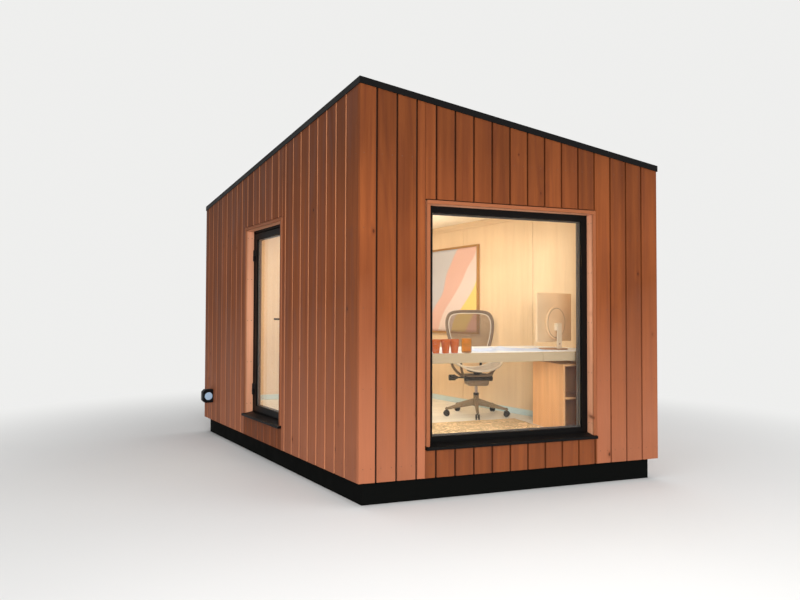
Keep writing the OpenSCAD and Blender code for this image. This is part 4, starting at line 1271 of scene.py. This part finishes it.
        piece("chair_tilt_drum", [seat.solid(part) for part in parts], dark)
        piece("chair_seat_struts", struts, pale)
        piece("chair_seat_post", [seat.solid(post)], dark)

    def make_seat(self, seat, pale_rim, dark):
        """Rim along a closed curve, and a mesh sheet from its middle out to the rim. Across the seat, the height
        follows an arc of 0.41 m radius, so that both sides stand up."""
        half_wide, half_deep, level, radius = 0.238, 0.213, 0.4665, 0.4101
        middle = np.array([0, -0.025])
        outline = middle + np.stack(list(superellipse(around(96), 3.2)), axis=-1) * [half_wide, half_deep]

        def dip(across):
            """Rise of the arc above its lowest point: radius - root(radius squared - distance squared)."""
            return radius - np.sqrt(radius ** 2 - across ** 2)

        droop = 0.006 * np.clip((middle - outline)[:, 1] / half_deep, 0, 1) ** 3
        rim = np.concatenate([outline, (level + dip(outline[:, 0]) - droop)[:, None]], axis=1)
        part = np.linspace(0, 1, 18)[1:, None]
        plan = middle + part[..., None] * (outline - middle)
        height = level + dip(plan[..., 0]) - droop * part ** 3 - 0.003 * (1 - part ** 2)
        points = np.concatenate([listed(plan[..., 0], plan[..., 1], height), [[*middle, level - 0.003]]])
        pan = block((-0.085, 0.085), (-0.115, 0.075), 0.03, [
            (0.4402, 0.012), (0.4425, 0.003), (0.448, 0.0), (0.4555, 0.002), (0.4575, 0.008),
        ])
        piece = partial(make, stands_for=("chair_seat",))
        ring = seat.solid(sweep(rim, 0.012, 0.0095, 12, closed=True, power=2.5), closed=True)
        piece("chair_seat_rim", [ring], pale_rim, "chair_plastic")
        shell = sheet_shell(seat.place(points), 17, 96, wrap=True, centre=True)
        cloth = open_mesh("chair_seat_cloth", tint(186, 176, 164), 0.90)
        sheet = piece("chair_seat_mesh", [shell], cloth, "chair_mesh", uv=points[:, :2], smooth=60)
        thicken(sheet, 0.0018)
        piece("chair_seat_pan", [seat.solid(pan)], dark, "chair_plastic")

    def make_back(self, seat, pale_rim, dark, shades):
        """Rim, inner carrier and mesh sheet on one leaning plane, and two arms that carry the rim."""
        slope = math.radians(12)
        half = [
            (0, 0.013), (0.115, 0.017), (0.165, 0.052), (0.196, 0.150), (0.232, 0.270), (0.250, 0.370),
            (0.247, 0.455), (0.212, 0.520), (0.130, 0.545), (0, 0.549),
        ]
        shape = smooth_path(half + [(-across, up) for across, up in half[-2:0:-1]], 120, closed=True)

        def lean(flat):
            """Back plane: height runs up the slope, and the sides come forward with the square of the half width."""
            across, up = flat[..., 0], flat[..., 1]
            out = 0.013 - 0.022 * (across / 0.25) ** 2 + 0.012 * np.sin(np.pi * np.clip(up / 0.55, 0, 1))
            behind = 0.190 + up * math.sin(slope) + out * math.cos(slope)
            return np.stack([across, behind, 0.520 + up * math.cos(slope) - out * math.sin(slope)], axis=-1)

        centre = np.array([0, 0.30])
        piece = partial(make, stands_for=("chair_back",))
        grey = moulded("chair_back_frame", tint(116, 98, 82), 0.45)
        for name, share, wide, deep, sides, plastic in (
            ("chair_back_rim", 0.985, 0.0165, 0.011, 14, grey),
            ("chair_back_carrier", 0.905, 0.004, 0.0045, 10, pale_rim),
        ):
            path = lean(centre + share * (shape - centre))
            rings = sweep(path, wide, deep, sides, up=(0, 1, 0.2), closed=True, power=2.6)
            piece(name, [seat.solid(rings, closed=True)], plastic, "chair_plastic")
        part = np.linspace(0, 1, 16)[1:, None, None]
        flat = np.concatenate([(centre + part * (shape - centre)).reshape(-1, 2), [centre]])
        shell = sheet_shell(seat.place(lean(flat)), 15, 120, wrap=True, centre=True)
        cloth = open_mesh("chair_mesh_cloth", shades.chair_mesh, 0.36)
        sheet = piece("chair_back_mesh", [shell], cloth, "chair_mesh", uv=flat, smooth=60)
        thicken(sheet, 0.0016)
        arm = [
            [0.086, 0.082, 0.372], [0.092, 0.150, 0.385], [0.100, 0.205, 0.420], [0.105, 0.228, 0.480],
            [0.107, 0.224, 0.545], [0.107, 0.232, 0.580],
        ]
        arms = [
            seat.solid(sweep(smooth_path(np.array(arm) * [way, 1, 1], 26), 0.013, 0.010, 12, (0, 1, 0.3), power=2.8))
            for way in (-1, 1)
        ]
        piece("chair_back_arms", arms, dark, "chair_plastic")


class POD_OT_monitor(Operator):
    """Monitor on its stand"""

    bl_idname = "pod.monitor"
    bl_label = "Monitor"

    def execute(self, context):
        shades, plan = colours(), Plan(sizes())
        spot = plan.spot(1.96484, 0.550, turn=23)

        def upright(rings):
            """Slab rings laid upright: the outline stands in the plane across, its height runs back to front."""
            return spot.solid(rings[..., [0, 2, 1]])

        face, forward, backward = 0.235, (0, 1, 0), (0, -1, 0)
        metal = painted(
            "screen_back_metal", shades.screen_back, 0.42, (4.0, 2.0, 0.93, 1.06), (1200.0, 1.0, 0.0001, 0.5), 0.2,
        )
        glass = Finish("screen_glass", 0.12)
        cloud = glass.fade(glass.noise(glass.object_position(), 6.0, 2.0), 0.3, 0.7)
        glass.set("Base Color", glass.blend(cloud, (0.010, 0.010, 0.012), (0.016, 0.016, 0.019)))
        fine = (900.0, 1.0, 0.0001, 0.5)
        cream = painted("stand_metal", tint(226, 206, 178), 0.4, (9.0, 2.0, 0.95, 1.04), fine, 0.1)
        brown = painted("foot_metal", tint(158, 116, 84), 0.45, (9.0, 2.0, 0.92, 1.06), fine, 0.2)
        # Dark red-brown paint for the painted shade ring and hole below.
        dark = moulded("monitor_dark", tint(96, 58, 46), 0.5)
        case = block((-0.265, 0.265), (0.068, 0.503), 0.012, [
            (0.0, 0.006), (0.0015, 0.003), (0.004, 0.0006), (0.008, 0.0), (0.0205, 0.0), (0.0218, 0.0012),
        ])
        screen = block((-0.259, 0.259), (0.076, 0.497), 0.006, [(0.0210, 0.0), (0.0220, 0.0004)], 6)
        housing = [
            [0.010, 0.0002], [0.1445, 0.0002], [0.1465, 0.003], [0.1465, 0.012], [0.1425, 0.0165], [0.130, 0.0178],
            [0.010, 0.018],
        ]
        # Painted shade: a dark ring on the round housing's edge and a dark disc on the neck stand for the shade in the
        # gap and the hole.
        shade_ring = [[0.1300, 0.0], [0.1305, -0.0006], [0.1330, -0.0006], [0.1335, 0.0]]
        hole = [[0.001, 0.0], [0.0068, 0.0], [0.0068, 0.0004], [0.001, 0.0005]]
        neck = block((-0.035, 0.035), (0.001, 0.234), 0.010, [
            (-0.0498, 0.0014), (-0.0486, 0.0), (-0.0432, 0.0), (-0.0422, 0.0012),
        ])
        head = block((-0.034, 0.034), (0.166, 0.234), 0.008, [(-0.0430, 0.0), (-0.0172, 0.0)])
        foot = [
            [0.004, 0.0], [0.1275, 0.0], [0.1298, 0.0015], [0.1298, 0.0060], [0.1278, 0.0079], [0.004, 0.008],
        ]
        seams = [turned(shade_ring, 72, [0, -0.0176, face], forward), turned(hole, 24, [0, -0.0499, 0.050], backward)]
        for name, shells, material, smooth in (
            ("monitor_case", [upright(case)], metal, 32),
            ("monitor_screen", [upright(screen)], glass.material, 32),
            ("monitor_housing", [spot.solid(turned(housing, 72, [0, 0, face], backward))], metal, 40),
            ("monitor_shade_rings", [spot.solid(rings) for rings in seams], dark, 32),
            ("monitor_neck", [upright(neck), upright(head)], cream, 32),
            ("monitor_foot", [spot.solid(turned(foot, 64) + [0, 0.020, 0])], brown, 32),
        ):
            make(name, shells, material, "monitor_metal", stands_for=("monitor",), smooth=smooth)
        return {"FINISHED"}


class POD_OT_small_things(Operator):
    """Picture, rug, pots, tumbler, papers, downlights and wall light"""

    bl_idname = "pod.small_things"
    bl_label = "Small things"

    def execute(self, context):
        shades, plan = colours(), Plan(sizes())
        self.picture(plan, shades)
        self.rug(shades)
        self.vessels(plan, shades)
        self.papers(plan)
        self.lights(plan)
        return {"FINISHED"}

    def rug(self, shades):
        """Rug as one grid: its height swells by the root of the distance from the border, and a low product of two
        sine waves ripples it."""
        low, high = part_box("rug")
        rows, columns, margin = 140, 90, 0.002
        across, along = lattice(rows, columns)
        wide, deep = high.x - low.x - 2 * margin, high.y - low.y - 2 * margin
        border = np.minimum(np.minimum(across, 1 - across) * wide, np.minimum(along, 1 - along) * deep)
        ripple = 0.0006 * np.sin(across * 31 + 2 * np.sin(along * 7)) * np.sin(along * 23)
        height = low.z + 0.0036 + 0.00084 * np.clip(border / 0.012, 0, 1) ** 0.5 + ripple
        points = listed(low.x + margin + across * wide, low.y + margin + along * deep, height)
        shell = sheet_shell(points, rows, columns)
        flat = listed(across * wide, along * deep)
        rug = make("jute_rug", [shell], jute("jute", shades.rug), "rug", stands_for=("rug",), uv=flat, smooth=60)
        thicken(rug, 0.006)

    def vessels(self, plan, shades):
        """Three flower pots and a tumbler, each turned."""
        pot = [
            [0.003, 0.001], [0.0235, 0.0], [0.0258, 0.003], [0.0352, 0.082], [0.0358, 0.084], [0.038, 0.086],
            [0.0378, 0.108], [0.0365, 0.110], [0.0335, 0.1095], [0.0325, 0.092], [0.0300, 0.090], [0.0225, 0.008],
            [0.003, 0.007],
        ]
        places = ((0.703, 0.275), (0.783, 0.268), (0.863, 0.275))
        pots = [plan.spot(x, y).solid(turned(pot, 36)) for x, y in places]
        clay = fired_clay("clay_body", shades.clay)
        make("clay_pots", pots, clay, "terracotta", stands_for=("pots",), smooth=45)
        tumbler = [
            [0.003, 0.0005], [0.036, 0.0], [0.0395, 0.003], [0.0418, 0.020], [0.042, 0.112], [0.0412, 0.115],
            [0.0395, 0.1145], [0.0385, 0.020], [0.034, 0.010], [0.003, 0.009],
        ]
        shell = plan.spot(0.970, 0.280).solid(turned(tumbler, 40))
        amber = clear_glass("tumbler_glass", shades.amber, 0.03)
        make("amber_tumbler", [shell], amber, "amber_glass", stands_for=("tumbler",), smooth=45)

    def picture(self, plan, shades):
        """Picture on the right wall: four frame bars and a stretched canvas with a plain design."""
        bend, across = rotation(plan.sizes.corner)
        reach = plan.sizes.wall / math.sin(plan.sizes.corner)
        foot = plan.corner + (plan.sizes.front - reach) * plan.east + reach * plan.north
        wall = Side(foot, bend, across, plan.sizes.side, 1.0, 1.0)
        start, wide, tall, deep, low, inner, count = 1.8806, 1.05, 1.0, 0.030, 1.160, 0.020, 30
        oak = timber("oak_frame_wood", shades.oak, tint(140, 96, 48), rings=6.0, contrast=0.7, spread=0.05, knots=0.1)
        bars = ring_bars(wall, (start, start + wide, low, low + tall), 0.022, 0.0005, deep, 0.0012)
        make("picture_frame", bars, oak, "picture", stands_for=("picture",))
        along, up = lattice(count, count)
        sag = 0.0008 * np.sin(np.pi * along) * np.sin(np.pi * up)
        x, z = start + inner + along * (wide - 2 * inner), low + inner + up * (tall - 2 * inner)
        points = listed(x, 0.019 - sag, z)
        grounds = [
            tint(232, 176, 158), tint(238, 206, 122), tint(226, 206, 196), tint(222, 180, 164), tint(196, 194, 196),
        ]
        canvas = make(
            "picture_canvas", [sheet_shell(wall.place(points), count, count)], plain_canvas("canvas_print", grounds),
            "picture", stands_for=("picture",), uv=listed(along, up),
        )
        thicken(canvas, 0.002)

    def papers(self, plan):
        """Loose papers on the desk, each a small grid with a slight curl at one corner."""
        paper = painted("paper", (0.60, 0.70, 0.90), 0.8, (40.0, 2.0, 0.97, 1.02))
        rows, columns = 16, 20
        across, along = lattice(rows, columns)
        across, along = (across - 0.5) * 0.210, (along - 0.5) * 0.296
        curl = 0.012 * np.clip((across + along - 0.12) / 0.13, 0, 1) ** 2
        places = (1.18, 0.52, 12, 0), (1.30, 0.66, -20, 1), (1.47, 0.55, 5, 0), (1.58, 0.74, 28, 1), (1.70, 0.50, -8, 0)
        for number, (x, y, turn, level) in enumerate(places, 1):
            points = listed(across, along, 0.002 + 0.0006 * level * number + curl)
            shell = sheet_shell(plan.spot(x, y, turn=turn).place(points), rows, columns)
            thicken(make(f"paper_{number}", [shell], paper, "desk_white"), 0.0003, 1.0)

    def lights(self, plan):
        """Downlights flush in the ceiling, and the boxed wall light with its round frosted cover."""
        ring = [[0.036, 0.0], [0.0365, -0.003], [0.046, -0.0035], [0.048, -0.001], [0.048, 0.0]]
        cover = [[0.002, -0.001], [0.035, -0.001], [0.036, 0.0]]
        rings, covers = [], []
        for along in (2.0, 2.9):
            for across in (0.75, 1.75):
                x, y, _ = base = plan.left.place([along, 0, 0]) + [across, 0, 0]
                spot = Spot((x, y, plan.roof_line(base) - 0.231), *rotation(0.0))
                rings.append(spot.solid(turned(ring, 32)))
                covers.append(spot.solid(turned(cover, 32)))
        make("downlight_rings", rings, powder_coat("light_ring", (0.75, 0.73, 0.70), 0.35), "light_body")
        make("downlight_covers", covers, lamp_glow("downlight_cover", (1.0, 0.93, 0.80), 3.0), "light_body")
        corners = [
            [-0.0003, 0.371], [-0.088, 0.371], [-0.115, 0.398], [-0.115, 0.494], [-0.088, 0.521], [-0.0003, 0.521],
        ]
        body = slab(loop(corners, 0.004, 5), [
            (3.2505, 0.003), (3.2525, 0.0006), (3.2560, 0.0), (3.3240, 0.0), (3.3275, 0.0006), (3.3295, 0.003),
        ])
        face, toward = [3.2505, -0.054, 0.446], (-1, 0, 0)
        bezel = [
            [0.0435, 0.0], [0.0440, 0.0050], [0.0455, 0.0063], [0.0485, 0.0063], [0.0500, 0.0048], [0.0500, 0.0],
        ]
        dome = [[0.0440, 0.0], [0.0438, 0.0030], [0.0400, 0.0043], [0.0250, 0.0055], [0.0020, 0.0060]]
        bezel, dome = (plan.left.solid(turned(profile, 48, face, toward)) for profile in (bezel, dome))
        black = powder_coat("light_black", tint(16, 16, 18), 0.5)
        glow = lamp_glow("wall_light_glass", tint(168, 195, 220), 0.15)
        piece = partial(make, slot="light_body", stands_for=("wall_light",))
        piece("wall_light_body", [plan.left.solid(body[..., [2, 0, 1]]), bezel], black)
        piece("wall_light_cover", [dome], glow)


def stand(thing, right, up, away, place):
    """Links a lamp or camera, with its own x, y and z along three directions and its middle at a place."""
    thing.matrix_world = Matrix([(*row, at) for *row, at in zip(right, up, away, place)] + [(0, 0, 0, 1)])
    bpy.context.scene.collection.objects.link(thing)


class POD_OT_stage(Operator):
    """Pale floor, soft lamps and the camera"""

    bl_idname = "pod.stage"
    bl_label = "Stage"
    backdrop = (0.86, 0.86, 0.85)

    def execute(self, context):
        context.scene.view_settings.view_transform = "Standard"
        self.background(context.scene)
        self.ground(context.scene)
        self.lamps()
        self.camera(context.scene)
        return {"FINISHED"}

    def background(self, scene):
        """Soft grey light from all round, and an even pale background to camera, gloss and glass rays."""
        scene.world = bpy.data.worlds.new("studio")
        scene.world.use_nodes = True
        sky = Nodes(scene.world.node_tree)
        sky.tree.nodes.clear()
        light = sky.node("Background", {0: (0.95, 0.97, 1.0), 1: 0.18})
        backdrop = sky.node("Background", {0: self.backdrop, 1: 1.0})
        sky.node("OutputWorld", {0: sky.mix(sky.seen(), light, backdrop)})

    def ground(self, scene):
        """Large flat floor disc, made as rings from its middle outward. Far from the pod, the paint fades by the
        distance from the middle into the even tone of the backdrop, so that no horizon line shows."""
        rows, columns = 12, 64
        radius = 0.5 + 59.5 * np.linspace(0, 1, rows)[:, None] ** 2
        angle = around(columns)
        points = np.concatenate([listed(radius * np.cos(angle), radius * np.sin(angle), 0.0), [[0, 0, 0]]])
        mesh = bpy.data.meshes.new("studio_floor")
        mesh.from_pydata(points.tolist(), [], sheet_shell(points, rows, columns, wrap=True, centre=True)[1])
        floor = bpy.data.objects.new("studio_floor", mesh)
        scene.collection.objects.link(floor)
        paint = Finish("studio_floor_paint", 0.9, specular=0.05)
        place = paint.object_position()
        paint.set("Base Color", paint.shade((0.80, 0.80, 0.79), paint.drift(place, 0.6, 0.99, 1.01)))
        distance = paint.node("VectorMath", {0: place}, operation="LENGTH").outputs["Value"]
        far = paint.node("MapRange", {
            "Value": distance, "From Min": 2.6, "From Max": 6.4, "To Min": 0.0, "To Max": 1.0,
        }, interpolation_type="SMOOTHSTEP").outputs["Result"]
        even = paint.node("Emission", {"Color": self.backdrop, "Strength": 1.0})
        paint.surface(paint.mix(paint.times(paint.seen(), far), paint.shader, even))
        mesh.materials.append(paint.material)

    def lamps(self):
        """A key lamp close to the camera, a weak fill, a broad soft lamp overhead and warm lamps in the room. Each
        is a rectangle at a place, turned to face a target."""
        white, warm = (1.0, 1.0, 1.0), (1.0, 0.955, 0.885)
        for name, place, target, power, wide, tall, light in (
            ("key", (-1.5, -7.4, 2.3), (0.0, -1.0, 1.4), 320, 2.2, 1.8, white),
            ("fill", (4.5, -5.0, 3.2), (0.3, -0.5, 1.2), 40, 3.0, 2.4, white),
            ("overhead", (0.0, -0.6, 8.0), (0.0, -0.6, 0.0), 560, 9.0, 9.0, white),
            ("room_front", (-0.10, -0.55, 2.40), (-0.10, -0.55, 0), 10, 1.1, 0.8, warm),
            ("room_rear", (-0.45, 0.75, 2.38), (-0.45, 0.75, 0), 9, 1.1, 0.8, warm),
            ("room_up", (-0.20, 0.10, 1.95), (-0.20, 0.10, 3.0), 13, 1.2, 1.6, warm),
            ("room_window", (0.30, -1.42, 2.20), (0.35, 0.3, 0.7), 7, 1.3, 0.25, warm),
            ("room_low", (-0.02, -1.25, 1.00), (-0.02, -1.15, 0.0), 7, 1.6, 0.5, warm),
        ):
            data = bpy.data.lights.new(name, "AREA")
            data.shape, data.size, data.size_y, data.energy, data.color = "RECTANGLE", wide, tall, power, light
            lamp = bpy.data.objects.new(name, data)
            lamp.visible_camera = lamp.visible_glossy = lamp.visible_transmission = False
            away = unit(np.subtract(place, target))
            across = unit(np.cross([0, 0, 1] if abs(away[2]) < 0.95 else [0, 1, 0], away))
            stand(lamp, across, np.cross(away, across), away, place)

    def camera(self, scene):
        """Camera at the photograph's place: yaw to the right of straight ahead, a slight pitch up, a slight roll."""
        yaw, pitch, roll = math.radians(18.9008), math.radians(1.3466), math.radians(0.1803)
        ahead = np.array([math.sin(yaw) * math.cos(pitch), math.cos(yaw) * math.cos(pitch), math.sin(pitch)])
        level = np.array([math.cos(yaw), -math.sin(yaw), 0.0])
        over = np.cross(level, ahead)
        right = level * math.cos(roll) + over * math.sin(roll)
        up = -level * math.sin(roll) + over * math.cos(roll)
        data = bpy.data.cameras.new("camera")
        data.lens, data.sensor_width = 28.35, 36.0
        data.dof.use_dof = False
        scene.camera = bpy.data.objects.new("camera", data)
        stand(scene.camera, right, up, -ahead, (-2.01755, -6.06987, 1.3725))


class POD_PT_sidebar(Panel):
    """Lists the steps that build the pod, its sizes and its colours"""

    bl_idname = "POD_PT_sidebar"
    bl_label = "Garden Office Pod"
    bl_space_type = "VIEW_3D"
    bl_region_type = "UI"
    bl_category = "Pod"

    def draw(self, context):
        for step in STEPS:
            self.layout.operator(step.bl_idname)
        for group in (context.scene.pod_sizes, context.scene.pod_colours):
            box = self.layout.box()
            for name in group.__annotations__:
                box.prop(group, name)


STEPS = (
    POD_OT_walls, POD_OT_shell, POD_OT_window, POD_OT_door, POD_OT_desk,
    POD_OT_chair, POD_OT_monitor, POD_OT_small_things, POD_OT_stage,
)
CLASSES = (PodSizes, PodColours, *STEPS, POD_PT_sidebar)


def register():
    for own in CLASSES:
        bpy.utils.register_class(own)
    bpy.types.Scene.pod_sizes = PointerProperty(type=PodSizes)
    bpy.types.Scene.pod_colours = PointerProperty(type=PodColours)


def unregister():
    del bpy.types.Scene.pod_sizes
    del bpy.types.Scene.pod_colours
    for own in reversed(CLASSES):
        bpy.utils.unregister_class(own)


def main():
    register()
    for step in STEPS:
        group, call = step.bl_idname.split(".")
        if getattr(getattr(bpy.ops, group), call)() != {"FINISHED"}:
            raise RuntimeError(step.bl_idname + " did not finish")


if __name__ == "__main__":
    main()
